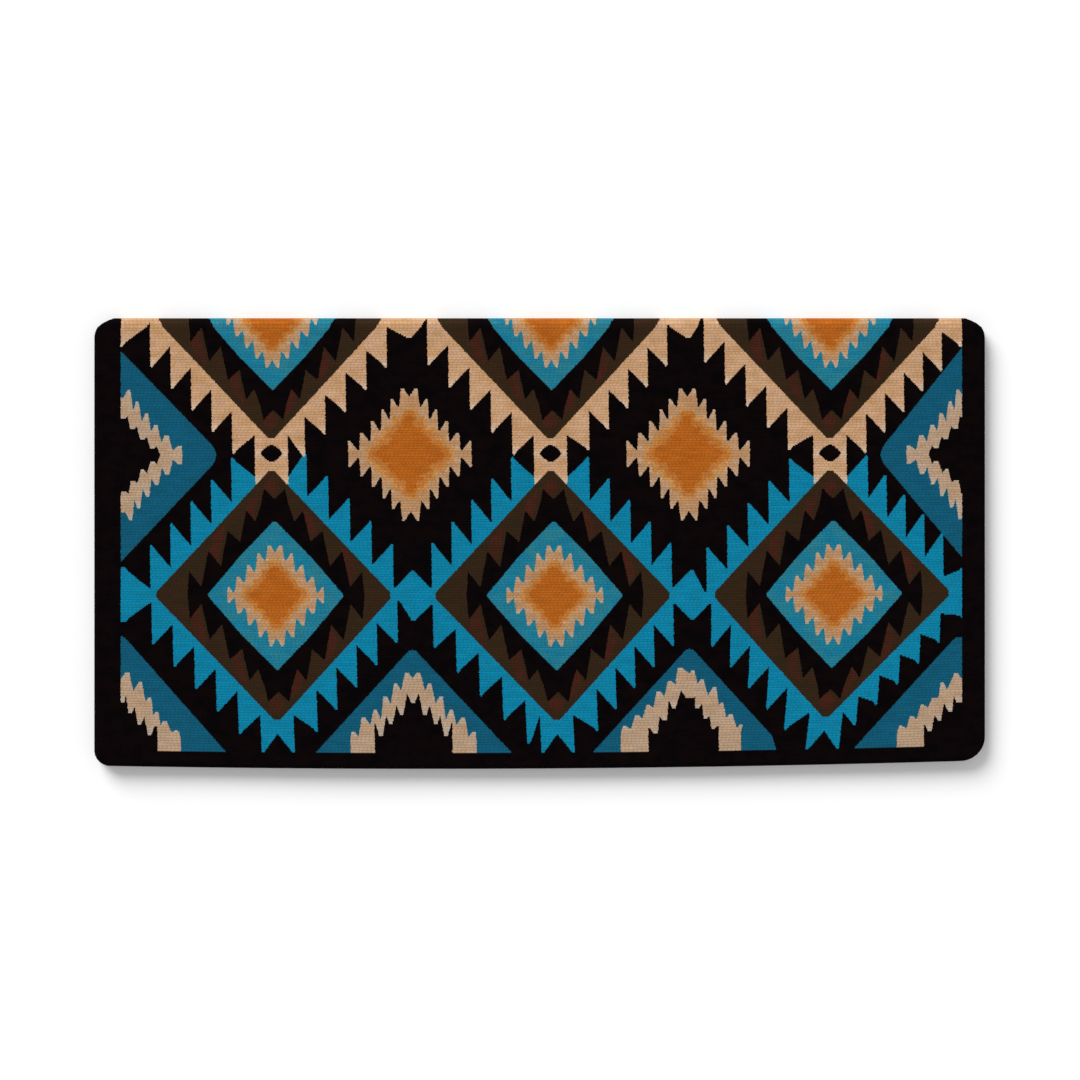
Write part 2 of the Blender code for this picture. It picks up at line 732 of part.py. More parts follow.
def slab(piece, low):
    """A piece's mesh, round where it is the blanket's rim."""
    mesh = bmesh.new()
    columns, loops = {}, piece.loops
    for loop in loops:
        rims = [rim_at(piece.where[k]) for k in loop]
        moved = drawn_in([piece.where[k] for k in loop], rims)
        for i, k in enumerate(loop):
            spots = column_spots(loop, i, moved, piece.where)
            columns[k] = [mesh.verts.new((s[0], s[1], low + up)) for s, up in spots]
    for loop in loops:
        for a, b in zip(loop, loop[1:] + loop[:1]):
            one, two = columns[a], columns[b]
            if len(one) == len(two) > 2:
                for j in range(len(one) - 1):
                    mesh.faces.new([one[j], two[j], two[j + 1], one[j + 1]])
            else:
                mesh.faces.new([one[0]] + two + one[:0:-1])
    inner = sorted({k for side in piece.meets for k in side} - set(columns))
    for end in (0, -1):
        level = low + (PLY if end else 0.0)
        corners = {k: columns[k][end] for loop in loops for k in loop}
        corners |= {k: mesh.verts.new((*piece.where[k], level)) for k in inner}
        ids = list(corners)
        at = {k: i for i, k in enumerate(ids)}
        edges = [(at[a], at[b]) for loop in loops for a, b in zip(loop, loop[1:] + loop[:1])]
        edges += [(at[a], at[b]) for a, b in piece.meets]
        flat = [corners[k].co.xy[:] for k in ids]
        where, triangles, became = cut(flat, edges)
        if len(where) != len(ids):
            raise ValueError(f"{piece.name}: lines cross in its faces")
        vert = {became[i]: corners[k] for i, k in enumerate(ids)}
        middles = np.array([where[list(t)].mean(axis=0) for t in triangles])
        held = inside(middles, [flat[at[k]] for k in loops[0]])
        for hole in loops[1:]:
            held &= ~inside(middles, [flat[at[k]] for k in hole])
        for t, keep in zip(triangles, held):
            if keep:
                face = [vert[k] for k in t]
                mesh.faces.new(face if end else face[::-1])
    for made in mesh.verts:
        u, v, z = made.co
        made.co = (u, FOLDED_DEPTH / 2 - PLAN_SHIFT - v, z)
    bmesh.ops.recalc_face_normals(mesh, faces=mesh.faces)
    return mesh


def placed(name, mesh, origin, parent, order):
    """An object from a mesh in the blanket's frame, with its origin where it turns."""
    data = bpy.data.meshes.new(name)
    mesh.to_mesh(data)
    mesh.free()
    data.transform(Matrix.Translation(-Vector(origin)))
    made = bpy.data.objects.new(name, data)
    bpy.context.scene.collection.objects.link(made)
    for colour in order:
        data.materials.append(YARNS[colour])
    if parent is None:
        made.location = origin
    else:
        made.parent = parent
    return made


def paint(made, origin, order):
    """Gives each face of a piece the colour woven at its middle."""
    polygons = made.data.polygons
    y0 = FOLDED_DEPTH / 2 - PLAN_SHIFT - origin[1]
    found = woven([(f.center.x + origin[0], y0 - f.center.y) for f in polygons])
    for face, i in zip(polygons, found):
        colour = LAYERS[i][1] if i >= 0 else "black"
        face.material_index = order.index(colour) if colour in order else 0


def crease_at(i):
    """The crease line between rib i and the next, round from the lower flap to the upper."""
    a = -math.pi / 2 + TURN / 2 + i * TURN
    radius = MID_RADIUS / math.cos(TURN / 2)
    y, z = radius * math.cos(a), radius * math.sin(a)
    return Vector((0.0, FOLD_CENTRE_Y + y, FOLD_CENTRE_Z + z))


def opening_line():
    """The line about which half a turn takes the upper flap from folded to opened flat.

    The opened ribs lie side by side between the flaps, so it is half their length out from
    the middle of the fold's round.
    """
    return Vector((0.0, FOLD_CENTRE_Y + (RIBS - 1) * RIB_HALF, FOLD_CENTRE_Z))


def pivot(name, place):
    """An empty on a line that something turns about."""
    made = bpy.data.objects.new(name, None)
    bpy.context.scene.collection.objects.link(made)
    made.location = place
    made.empty_display_size = PLY
    return made


def section(i):
    """The outline of rib i across the fold, as distances from the round's middle and along it.

    The ribs between the first and the last are wedges that stand in the round. The first and
    last lie flat, each with a plain side to its flap.
    """
    wide = RIB_HALF - YARN_GAP / 2
    slim = RIB_INNER * math.tan(TURN / 2) - YARN_GAP / 2
    outer, inner = PLY + PLY_GAP / 2, PLY_GAP / 2
    bent = [(outer, wide), (MID_RADIUS, wide), (RIB_INNER, slim)]
    tapered = [(outer, wide), (MID_RADIUS, wide), (inner, wide - TAPER)]
    plain = [(outer, wide), (inner, wide)]
    ahead = plain if i == RIBS - 1 else tapered if i == 0 else bent
    behind = plain if i == 0 else tapered if i == RIBS - 1 else bent
    return ahead + [(radius, -reach) for radius, reach in reversed(behind)]


def rib(i, origin, parent=None):
    """One rib of the fold, coloured by the pattern that crosses it."""
    middle = -math.pi / 2 + i * TURN
    v = abs(i - (RIBS - 1) / 2) * 2 * RIB_HALF
    depth = (PLY + PLY_GAP / 2) * (1 - math.cos(middle))
    half = WIDTH / 2 - pulled_in(max(depth, FOLD_CORNER_START))
    cuts = {-half, half}
    for _, _, outline in LAYERS:
        for (ua, va), (ub, vb) in zip(outline, outline[1:] + outline[:1]):
            if (va - v) * (vb - v) < 0:
                u = ua + (ub - ua) * (v - va) / (vb - va)
                if abs(u) < half:
                    cuts.add(u)
    stations = sorted(cuts)
    found = woven([((a + b) / 2, v) for a, b in zip(stations, stations[1:])])
    keep, tints = [stations[0]], []
    for b, k in zip(stations[1:], found):
        colour = LAYERS[k][1] if k >= 0 else "black"
        if tints and tints[-1] == colour:
            keep[-1] = b
        else:
            tints.append(colour)
            keep.append(b)
    out = (math.cos(middle), math.sin(middle))
    mesh, rings = bmesh.new(), []
    for u in keep:
        verts = []
        for radius, reach in section(i):
            y = FOLD_CENTRE_Y + out[0] * radius - out[1] * reach
            z = FOLD_CENTRE_Z + out[1] * radius + out[0] * reach
            verts.append(mesh.verts.new((u, y, z)))
        rings.append(verts)
    order = sorted(set(tints), key=tints.index)
    for k, (one, two) in enumerate(zip(rings, rings[1:])):
        for j in range(len(one)):
            n = (j + 1) % len(one)
            face = mesh.faces.new([one[j], one[n], two[n], two[j]])
            face.material_index = order.index(tints[k])
    mesh.faces.new(rings[0])
    mesh.faces.new(rings[-1])
    bmesh.ops.recalc_face_normals(mesh, faces=mesh.faces)
    placed(f"rib_{i + 1}", mesh, origin, parent, order)


def build():
    """Makes the two flaps and the ribs of the fold between them."""
    lower = pivot("lower_flap", crease_at(0))
    upper = pivot("upper_flap", opening_line())
    pieces = flap_pieces()
    for flap, low, joint in (("lower", 0.0, lower), ("upper", PLY + PLY_GAP, upper)):
        for piece in pieces:
            mesh = slab(piece, low)
            made = placed(f"{flap}_{piece.name}", mesh, joint.location, joint, piece.order)
            paint(made, joint.location, piece.order)
    rib(0, lower.location, lower)
    for i in range(1, RIBS):
        rib(i, crease_at(i - 1))


build()
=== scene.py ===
"""Looks of a wool saddle blanket, folded once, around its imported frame.

Lengths are metres in the frame's own axes: X runs along the fold, the fold is at +Y, the
hems are at -Y and +Z is up. A point of the cloth is named by u, across from the middle, and
v, from the fold towards a hem, below zero on the lower flap. The cloth is woven row by row:
every row of weft yarn changes colour where the draft's outlines cross it.
"""

from __future__ import annotations

import logging
import math
from dataclasses import dataclass, field
from enum import Enum
from typing import Callable, Iterable, Sequence

import bpy
import numpy as np
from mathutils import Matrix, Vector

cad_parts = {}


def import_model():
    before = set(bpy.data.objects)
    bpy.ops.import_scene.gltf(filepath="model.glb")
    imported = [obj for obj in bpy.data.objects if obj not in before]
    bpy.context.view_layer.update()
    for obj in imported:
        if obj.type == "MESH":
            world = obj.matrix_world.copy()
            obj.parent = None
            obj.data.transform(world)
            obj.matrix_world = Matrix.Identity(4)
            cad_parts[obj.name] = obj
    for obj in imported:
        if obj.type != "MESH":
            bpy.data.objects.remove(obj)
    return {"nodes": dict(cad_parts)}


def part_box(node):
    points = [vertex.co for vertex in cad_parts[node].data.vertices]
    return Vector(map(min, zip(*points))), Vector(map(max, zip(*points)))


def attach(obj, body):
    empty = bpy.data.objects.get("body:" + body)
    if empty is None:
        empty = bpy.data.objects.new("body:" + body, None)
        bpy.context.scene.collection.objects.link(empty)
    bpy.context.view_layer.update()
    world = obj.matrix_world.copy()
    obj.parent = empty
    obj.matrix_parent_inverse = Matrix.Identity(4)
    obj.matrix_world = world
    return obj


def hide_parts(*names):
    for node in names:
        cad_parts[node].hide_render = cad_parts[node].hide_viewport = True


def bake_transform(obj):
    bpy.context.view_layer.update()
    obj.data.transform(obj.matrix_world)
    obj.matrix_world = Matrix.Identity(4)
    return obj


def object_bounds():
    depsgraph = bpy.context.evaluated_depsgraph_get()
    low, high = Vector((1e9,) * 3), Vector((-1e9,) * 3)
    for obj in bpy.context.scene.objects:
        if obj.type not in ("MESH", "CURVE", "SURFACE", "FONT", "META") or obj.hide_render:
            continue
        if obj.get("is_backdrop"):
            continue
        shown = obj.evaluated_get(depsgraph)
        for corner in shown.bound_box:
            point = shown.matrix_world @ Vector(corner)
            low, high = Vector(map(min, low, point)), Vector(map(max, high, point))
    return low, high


LOG = logging.getLogger("saddle_blanket")
SLACK = 1e-9

Point = tuple[float, float]
Outline = list[Point]
Arm = tuple[float, ...]
Arms = tuple[tuple[Arm, Arm], ...]


# ---------------------------------------------------------------- yarns and finishes


class Yarn(Enum):
    """The colours of wool that the blanket is woven from."""

    BLACK = "black"
    TAN = "tan"
    WHEAT = "wheat"
    SAND = "sand"
    AMBER = "amber"
    COPPER = "copper"
    ORANGE = "orange"
    TURQUOISE = "turquoise"
    GEM = "gem"
    TEAL = "teal"
    BROWN = "brown"
    RUST = "rust"


def linear(red: int, green: int, blue: int) -> tuple[float, float, float]:
    """Turns a screen colour into the shader's linear one.

    Args:
        red: Red from 0 to 255.
        green: Green from 0 to 255.
        blue: Blue from 0 to 255.

    Returns:
        The three linear parts, from 0 to 1.
    """
    parts = (c / 255 for c in (red, green, blue))
    return tuple(c / 12.92 if c <= 0.04045 else ((c + 0.055) / 1.055) ** 2.4 for c in parts)


def placed(name: str, data: bpy.types.ID) -> bpy.types.Object:
    """Adds an object to the scene.

    Args:
        name: Its name.
        data: Its mesh, lamp or camera.

    Returns:
        The object.
    """
    made = bpy.data.objects.new(name, data)
    bpy.context.scene.collection.objects.link(made)
    return made


class NodeBench:
    """Lays out and links the nodes of one material."""

    def __init__(self, material: bpy.types.Material) -> None:
        """Clears the material's tree.

        Args:
            material: The material whose nodes are made.
        """
        material.use_nodes = True
        self.tree = material.node_tree
        self.tree.nodes.clear()

    def node(self, kind: str, **settings: object) -> bpy.types.Node:
        """Adds a node.

        Args:
            kind: The node's type name.
            **settings: Its properties.

        Returns:
            The new node.
        """
        made = self.tree.nodes.new(kind)
        for name, value in settings.items():
            setattr(made, name, value)
        return made

    def feed(self, socket: bpy.types.NodeSocket, value: object) -> None:
        """Links an output to a socket, or sets the socket's own value.

        Args:
            socket: The input socket.
            value: An output socket, a number or a tuple.
        """
        if isinstance(value, bpy.types.NodeSocket):
            self.tree.links.new(value, socket)
        else:
            socket.default_value = value

    def math(self, operation: str, *values: object, clamp: bool = False) -> bpy.types.NodeSocket:
        """Adds a Math node and gives its output.

        Args:
            operation: The Math node's operation.
            *values: Its inputs, as sockets or numbers.
            clamp: Whether the result is kept from 0 to 1.

        Returns:
            The output socket.
        """
        made = self.node("ShaderNodeMath", operation=operation, use_clamp=clamp)
        for socket, value in zip(made.inputs, values):
            self.feed(socket, value)
        return made.outputs[0]

    def times(self, one: object, two: object) -> bpy.types.NodeSocket:
        """Multiplies two sockets or numbers."""
        return self.math("MULTIPLY", one, two)

    def combine(self, x: object, y: object, z: object) -> bpy.types.NodeSocket:
        """Joins three numbers into a vector.

        Args:
            x: First part.
            y: Second part.
            z: Third part.

        Returns:
            The vector's socket.
        """
        made = self.node("ShaderNodeCombineXYZ")
        for socket, value in zip(made.inputs, (x, y, z)):
            self.feed(socket, value)
        return made.outputs[0]

    def noise(self, at: object, detail: float = 2.0, rough: float = 0.5) -> bpy.types.NodeSocket:
        """Adds noise of scale 1 at a place that is already scaled.

        Args:
            at: The place, as a vector socket.
            detail: How many finer layers it has.
            rough: How strong the finer layers are.

        Returns:
            The noise from 0 to 1.
        """
        made = self.node("ShaderNodeTexNoise", noise_dimensions="3D", normalize=True)
        self.feed(made.inputs["Vector"], at)
        made.inputs["Scale"].default_value = 1.0
        made.inputs["Detail"].default_value = detail
        made.inputs["Roughness"].default_value = rough
        return made.outputs["Fac"]

    def span(
        self, value: object, low: float, high: float, to_low: float, to_high: float
    ) -> bpy.types.NodeSocket:
        """Maps a number from one range to another, held at the ends.

        Args:
            value: The number's socket.
            low: Where the first range starts.
            high: Where it ends.
            to_low: What its start becomes.
            to_high: What its end becomes.

        Returns:
            The mapped number's socket.
        """
        made = self.node("ShaderNodeMapRange", clamp=True)
        for socket, x in zip(made.inputs, (value, low, high, to_low, to_high)):
            self.feed(socket, x)
        return made.outputs[0]

    def mix(
        self, share: object, one: object, two: object, how: str = "MIX"
    ) -> bpy.types.NodeSocket:
        """Mixes two colours.

        Args:
            share: How much of the second shows.
            one: The first colour.
            two: The second colour.
            how: The blend type.

        Returns:
            The mixed colour's socket.
        """
        made = self.node("ShaderNodeMix", data_type="RGBA", blend_type=how, clamp_factor=True)
        self.feed(made.inputs["Factor"], share)
        for name, colour in (("A", one), ("B", two)):
            socket = next(s for s in made.inputs if s.name == name and s.type == "RGBA")
            self.feed(socket, (*colour, 1.0) if isinstance(colour, tuple) else colour)
        return next(s for s in made.outputs if s.type == "RGBA")


@dataclass(frozen=True)
class Spot:
    """The sockets that say where on the cloth a point lies: across, along and which face."""

    u: bpy.types.NodeSocket
    v: bpy.types.NodeSocket
    side: bpy.types.NodeSocket


@dataclass(frozen=True)
class Noise:
    """A noise drawn out over the cloth, and the part of its range that is used."""

    scale: Point
    span: Point
    detail: float = 1.0
    rough: float = 0.5

    def sample(self, bench: NodeBench, spot: Spot, along: object) -> bpy.types.NodeSocket:
        """Adds the noise to a material.

        Args:
            bench: The material's bench.
            spot: Where on the cloth it is.
            along: What it changes with along the cloth, the place or the row.

        Returns:
            The noise from 0 to 1.
        """
        at = (bench.times(spot.u, self.scale[0]), bench.times(along, self.scale[1]), spot.side)
        return bench.noise(bench.combine(*at), self.detail, self.rough)


@dataclass(frozen=True)
class WoolFinish:
    """One colour of wool in the weave: its tones, how it varies, the shade painted into the
    hollows between its grains and how it shines.
    """

    yarn: Yarn
    colour: tuple[float, float, float]
    second: tuple[float, float, float]
    mottle: float = 0.45
    pale: tuple[float, float, float] | None = None
    # The next two fields set the painted shade: how much darker the colour is painted in the
    # hollows between grains, and the grain height where that painted shade ends.
    depth: float = 0.32
    hollow_end: float = 0.75
    fibre: float = 0.22
    fibre_height: float = 0.55
    streak: float = 0.10
    fibres: Noise = Noise((420.0, 1900.0), (0.28, 0.72), 3.0, 0.62)
    clouds: Noise = Noise((55.0, 75.0), (0.38, 0.66), 2.0, 0.6)
    streaks: Noise = Noise((60.0, 3.7), (0.3, 0.7))
    sheen: float = 0.10
    sheen_rough: float = 0.6
    specular: float = 0.10
    rough: float = 0.93
    rough_swing: float = 0.05
    rough_span: Point = (0.25, 0.75)
    rib: float = 0.0026795
    bead: float = 0.0042
    wander: float = 0.7
    wander_scale: float = 90.0
    crown: float = 0.45
    relief: float = 0.00022
    bump: float = 0.7

    def build(self) -> bpy.types.Material:
        """Makes the material.

        Returns:
            The material, which reads the cloth's own u and v.
        """
        material = bpy.data.materials.new(f"wool_{self.yarn.value}")
        material.diffuse_color = (*self.colour, 1.0)
        bench = NodeBench(material)
        place = bench.node("ShaderNodeAttribute", attribute_name="cloth")
        parts = bench.node("ShaderNodeSeparateXYZ")
        bench.feed(parts.inputs[0], place.outputs["Vector"])
        spot = Spot(*parts.outputs)
        grain, row = self._grain(bench, spot)
        fibres = self.fibres.sample(bench, spot, spot.v)
        shader = bench.node("ShaderNodeBsdfPrincipled")
        bench.feed(shader.inputs["Base Color"], self._colour(bench, spot, grain, row, fibres))
        low, high = self.rough - self.rough_swing, min(self.rough + self.rough_swing, 1.0)
        bench.feed(shader.inputs["Roughness"], bench.span(fibres, *self.rough_span, low, high))
        bench.feed(shader.inputs["Normal"], self._bump(bench, grain, fibres))
        shader.inputs["Specular IOR Level"].default_value = self.specular
        shader.inputs["Sheen Weight"].default_value = self.sheen
        shader.inputs["Sheen Roughness"].default_value = self.sheen_rough
        shader.inputs["Sheen Tint"].default_value = (*(self.pale or self.colour), 1.0)
        out = bench.node("ShaderNodeOutputMaterial")
        bench.feed(out.inputs["Surface"], shader.outputs[0])
        return material

    def _grain(self, bench: NodeBench, spot: Spot) -> tuple:
        """Lays out the staggered grains of weft, from 0 between them to 1 on top.

        Args:
            bench: The material's bench.
            spot: Where on the cloth it is.

        Returns:
            The grain's height and the number of its row, as sockets.
        """
        along = bench.math("DIVIDE", spot.v, self.rib)
        row = bench.math("ROUND", along)
        off = bench.math("SUBTRACT", along, row)
        ridge = bench.math("COSINE", bench.times(off, math.pi))
        wander = bench.noise(bench.combine(bench.times(spot.u, self.wander_scale), row, 0.0), 1.0)
        stagger = bench.node("ShaderNodeTexWhiteNoise", noise_dimensions="1D")
        bench.feed(stagger.inputs["W"], row)
        across = bench.math("DIVIDE", spot.u, self.bead)
        across = bench.math("ADD", across, stagger.outputs["Value"])
        across = bench.math("ADD", across, bench.times(wander, self.wander))
        crown = bench.math("ABSOLUTE", bench.math("SINE", bench.times(across, math.pi)))
        return bench.times(ridge, bench.math("POWER", crown, self.crown)), row

    def _colour(
        self, bench: NodeBench, spot: Spot, grain: object, row: object, fibres: object
    ) -> bpy.types.NodeSocket:
        """Mixes the yarn's colour from its tones, with painted shade in the hollows between the
        grains.

        Args:
            bench: The material's bench.
            spot: Where on the cloth it is.
            grain: The grain's height.
            row: The number of the row.
            fibres: The fibre noise.

        Returns:
            The colour's socket.
        """
        clouds = self.clouds.sample(bench, spot, spot.v)
        streaks = self.streaks.sample(bench, spot, row)
        share = bench.times(bench.span(clouds, *self.clouds.span, 0.0, 1.0), self.mottle)
        made = bench.mix(share, self.colour, self.second)
        if self.pale is not None:
            thin = bench.node("ShaderNodeAttribute", attribute_name="narrow")
            made = bench.mix(thin.outputs["Fac"], made, self.pale)
        light = bench.span(fibres, *self.fibres.span, 1.0 - self.fibre, 1.0 + self.fibre)
        streak = bench.span(streaks, *self.streaks.span, 1.0 - self.streak, 1.0 + self.streak)
        # Painted shade: the colour is darkened by up to depth in the hollows between the grains;
        # the multiplier joins it with the random fibre and row tones.
        hollow_shade = bench.span(grain, 0.0, self.hollow_end, 1.0 - self.depth, 1.0)
        light = bench.times(bench.times(light, streak), hollow_shade)
        shade = bench.node("ShaderNodeCombineColor")
        for socket in shade.inputs[:3]:
            bench.feed(socket, light)
        return bench.mix(1.0, made, shade.outputs[0], "MULTIPLY")

    def _bump(self, bench: NodeBench, grain: object, fibres: object) -> bpy.types.NodeSocket:
        """Raises the grains and the fibres on them.

        Args:
            bench: The material's bench.
            grain: The grain's height.
            fibres: The fibre noise.

        Returns:
            The normal's socket.
        """
        high = bench.math("ADD", grain, bench.times(fibres, self.fibre_height))
        bump = bench.node("ShaderNodeBump")
        bench.feed(bump.inputs["Height"], high)
        bump.inputs["Strength"].default_value = self.bump
        bump.inputs["Distance"].default_value = self.relief
        return bump.outputs["Normal"]


CREAM = linear(216, 186, 158)
FINISHES = (
    WoolFinish(
        Yarn.BLACK, linear(7, 4, 5), linear(18, 8, 9), mottle=0.6, sheen=0.01, specular=0.02
    ),
    WoolFinish(Yarn.TAN, linear(205, 163, 128), linear(192, 145, 94), mottle=0.7, pale=CREAM),
    WoolFinish(
        Yarn.WHEAT, linear(188, 145, 106), linear(180, 131, 86), mottle=0.7,
        pale=linear(192, 160, 130),
    ),
    WoolFinish(
        Yarn.SAND, linear(186, 158, 132), linear(184, 149, 115), mottle=0.7,
        pale=linear(186, 168, 150),
    ),
    WoolFinish(Yarn.AMBER, linear(200, 144, 88), linear(186, 122, 56), mottle=0.8),
    WoolFinish(Yarn.COPPER, linear(192, 122, 58), linear(182, 108, 40), mottle=0.8),
    WoolFinish(Yarn.ORANGE, linear(182, 99, 28), linear(178, 92, 20), mottle=0.7),
    WoolFinish(Yarn.TURQUOISE, linear(5, 130, 168), linear(14, 124, 150)),
    WoolFinish(Yarn.GEM, linear(22, 122, 152), linear(46, 124, 136), mottle=0.8),
    WoolFinish(Yarn.TEAL, linear(12, 89, 118), linear(16, 84, 104)),
    WoolFinish(Yarn.BROWN, linear(51, 32, 17), linear(43, 34, 16), mottle=0.8, sheen=0.04),
    WoolFinish(Yarn.RUST, linear(67, 30, 19), linear(54, 29, 14), mottle=0.8, sheen=0.04),
)


# ---------------------------------------------------------------- the cloth's sizes


@dataclass(frozen=True)
class Cloth:
    """The folded cloth's sizes, read from the frame."""

    width: float
    depth: float
    ply: float
    gap: float
    hem_border: float = 0.0165
    hem_corners: tuple[float, float] = (0.0160, 0.0250)
    fold_corner: float = 0.0206
    fold_corner_start: float = 0.0006
    ribs: int = 7

    @classmethod
    def from_frame(cls) -> Cloth:
        """Reads the sizes from the frame's nodes.

        Returns:
            The cloth's sizes.
        """
        low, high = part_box("lower_ground")
        upper_low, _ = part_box("upper_ground")
        _, rib_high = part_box("rib_4")
        return cls(
            width=high.x - low.x,
            depth=rib_high.y - low.y,
            ply=high.z - low.z,
            gap=upper_low.z - high.z,
        )

    @property
    def mid_radius(self) -> float:
        """The radius of the cloth's middle round the fold."""
        return (self.ply + self.gap) / 2

    @property
    def fold_y(self) -> float:
        """Where the fold's round has its middle."""
        return self.depth / 2 - self.ply - self.gap / 2

    @property
    def fold_z(self) -> float:
        """How high the fold's round has its middle."""
        return self.ply + self.gap / 2

    @property
    def turn(self) -> float:
        """How far the fold turns from one rib to the next."""
        return math.pi / (self.ribs - 1)

    @property
    def pick(self) -> float:
        """The height of one row of weft, half a rib."""
        return self.mid_radius * math.tan(self.turn / 2)

    @property
    def round_rows(self) -> int:
        """How many rows of weft lie in a quarter of the fold's round."""
        return self.ribs - 1

    @property
    def plan_shift(self) -> float:
        """How much further than v a point lies from the fold, seen from above."""
        return self.ply + self.gap / 2 - self.round_rows * self.pick

    @property
    def hem_v(self) -> float:
        """Where the cloth ends."""
        return self.depth - self.plan_shift

    @property
    def field_end(self) -> float:
        """Where the hem border starts."""
        return self.hem_v - self.hem_border

    def plan_y(self, v: np.ndarray) -> np.ndarray:
        """Where a point of a flap lies along Y."""
        return self.depth / 2 - self.plan_shift - np.abs(v)

    def drawn_in(self, depth: float) -> float:
        """How far the side is drawn in near the fold.

        Args:
            depth: How far below the fold it is, seen from above.

        Returns:
            The distance from the straight side.
        """
        short = self.fold_corner - max(depth, self.fold_corner_start)
        if short <= 0:
            return 0.0
        return self.fold_corner - math.sqrt(self.fold_corner**2 - short**2)

    def hem_corner(self, side: float) -> float:
        """The radius of the hem's corner on the side where u has this sign."""
        return self.hem_corners[0 if side < 0 else 1]

    def half_width(self, v: float, side: float = 1.0) -> float:
        """Half the flat face's width at v, up to where its edge starts to round over.

        Args:
            v: Place along the cloth, of either sign.
            side: Below zero for the left half and above it for the right one.

        Returns:
            The distance from the middle.
        """
        v = abs(v)
        rounded = self.round_rows * self.pick
        if v < rounded:
            depth = (self.ply + self.gap / 2) * (1 - math.cos(math.pi / 2 * v / rounded))
        else:
            depth = v + self.plan_shift
        half = self.width / 2 - self.drawn_in(depth) - self.ply / 2
        corner = self.hem_corner(side)
        past = v - (self.hem_v - corner)
        if past > 0:
            inner = corner - self.ply / 2
            half = self.width / 2 - corner + math.sqrt(max(inner**2 - past**2, 0.0))
        return half


# ---------------------------------------------------------------- the weaving draft
#
# The draft is drawn in the photograph's pixels: u from the blanket's middle and v from the
# middle line of the fold. Its named places were read off the photograph.

LEFT_EDGE, RIGHT_EDGE = 93.9, 985.3
CLOTH_WIDTH = 0.9144
PIXEL = CLOTH_WIDTH / (RIGHT_EDGE - LEFT_EDGE)
DRAFT_MIDDLE = 539.25
DRAFT_ASIDE = DRAFT_MIDDLE - (LEFT_EDGE + RIGHT_EDGE) / 2
MIDDLE_Y = 319.4
FOLD_CENTRES = (-269.7, 9.3, 288.8)
LEFT_WALL, RIGHT_WALL = -418.5, 422.7


@dataclass(frozen=True)
class Area:
    """One outlined area of the draft, woven over those before it."""

    yarn: Yarn
    outline: Outline

    def cuts(self, v: float) -> list[float]:
        """Where the outline crosses one row.

        Args:
            v: The row's place along.

        Returns:
            Places across, in the outline's own order.
        """
        loop = self.outline
        return [
            u0 + (u1 - u0) * (v - v0) / (v1 - v0)
            for (u0, v0), (u1, v1) in zip(loop, loop[1:] + loop[:1])
            if (v0 > v) != (v1 > v)
        ]


def tidy(points: Iterable[Point], least: float = 0.01) -> Outline:
    """Drops points that repeat the one before.

    Args:
        points: The outline's points.
        least: The distance below which two points are one.

    Returns:
        The tidied outline.
    """
    kept: Outline = []
    for p in points:
        if not kept or math.dist(p, kept[-1]) > least:
            kept.append(p)
    while math.dist(kept[0], kept[-1]) <= least:
        kept.pop()
    return kept


def around(u: float, v: float, quarter: Sequence[Point]) -> Outline:
    """Closes an outline from one quarter's points, from the top out to the side.

    Args:
        u: The middle across.
        v: The middle along.
        quarter: Points as distances from the middle.

    Returns:
        The closed outline.
    """
    right_low = [(u + a, v + b) for a, b in quarter]
    right_high = [(u + a, v - b) for a, b in reversed(quarter)]
    left_high = [(u - a, v - b) for a, b in quarter]
    left_low = [(u - a, v + b) for a, b in reversed(quarter)]
    return tidy(right_low + right_high + left_high + left_low)


@dataclass(frozen=True)
class Band:
    """A band with one smooth edge along the frames and one serrated edge.

    Each column's left and right arm is given by its second upright and the step to the next
    ones, and by the depth of its tips where that is its own.
    """

    half: Point
    row: float
    way: int
    notch: float
    tips: Point
    junction: float
    arms: Arms
    first: float = 16.5
    teeth: int = 6
    half_pitch: float = 139.6
    blunt: Point = (4.5, 4.0)
    tip_flat: float = 1.5
    tip_drop: float = 1.0
    notch_flat: float = 2.0
    end_teeth: Point = (149.0, 132.5)
    end_tip: float = 27.0
    beyond: float = 30.0

    def smooth(self, across: float) -> float:
        """Where the smooth edge is at a distance from its column's middle."""
        return self.row + self.way * self.half[1] * (1 - across / self.half[0])

    def arm(self, column: int, side: int) -> Outline:
        """One serrated arm, from beside its column's middle out to the junction or the wall.

        Args:
            column: The column it belongs to.
            side: -1 for the left arm and 1 for the right one.

        Returns:
            The arm's points as (distance from the column's middle, v).
        """
        hand, way = (0 if side < 0 else 1), self.way
        second, step, *own = self.arms[column][hand]
        deep = own[0] if own else self.tips[hand]
        points: Outline = [(self.first, self.smooth(self.first) + way * self.notch)]
        for i in range(self.teeth - 1):
            across = second + step * i
            tip = self.smooth(across) + way * deep
            points.append((across - self.blunt[0], tip - way * self.blunt[1]))
            points += [(across - self.tip_flat, tip), (across, tip - way * self.tip_drop)]
            points.append((across, self.smooth(across) + way * self.notch))
        across, notch = points[-1]
        if (column, side) in ((0, -1), (len(self.arms) - 1, 1)):
            last, end = self.end_teeth[hand], self.row + way * self.end_tip
            points.append((last - self.blunt[0], end - way * self.blunt[1]))
            return points + [(last - self.tip_flat, end), (last + self.beyond, end)]
        joint = self.row + way * self.junction
        points.append((across + self.notch_flat, notch))
        return points + [(self.half_pitch - self.tip_flat, joint), (self.half_pitch, joint)]

    def edge(self, middle: Callable[[float], Outline]) -> Outline:
        """The serrated edge across every column, left to right.

        Args:
            middle: Gives the points at a column's middle.

        Returns:
            The edge's points.
        """
        points: Outline = []
        for column, u in enumerate(FOLD_CENTRES):
            left, right = self.arm(column, -1), self.arm(column, 1)
            points += [(u - a, b) for a, b in reversed(left)]
            points += middle(u)
            points += [(u + a, b) for a, b in right]
        return points


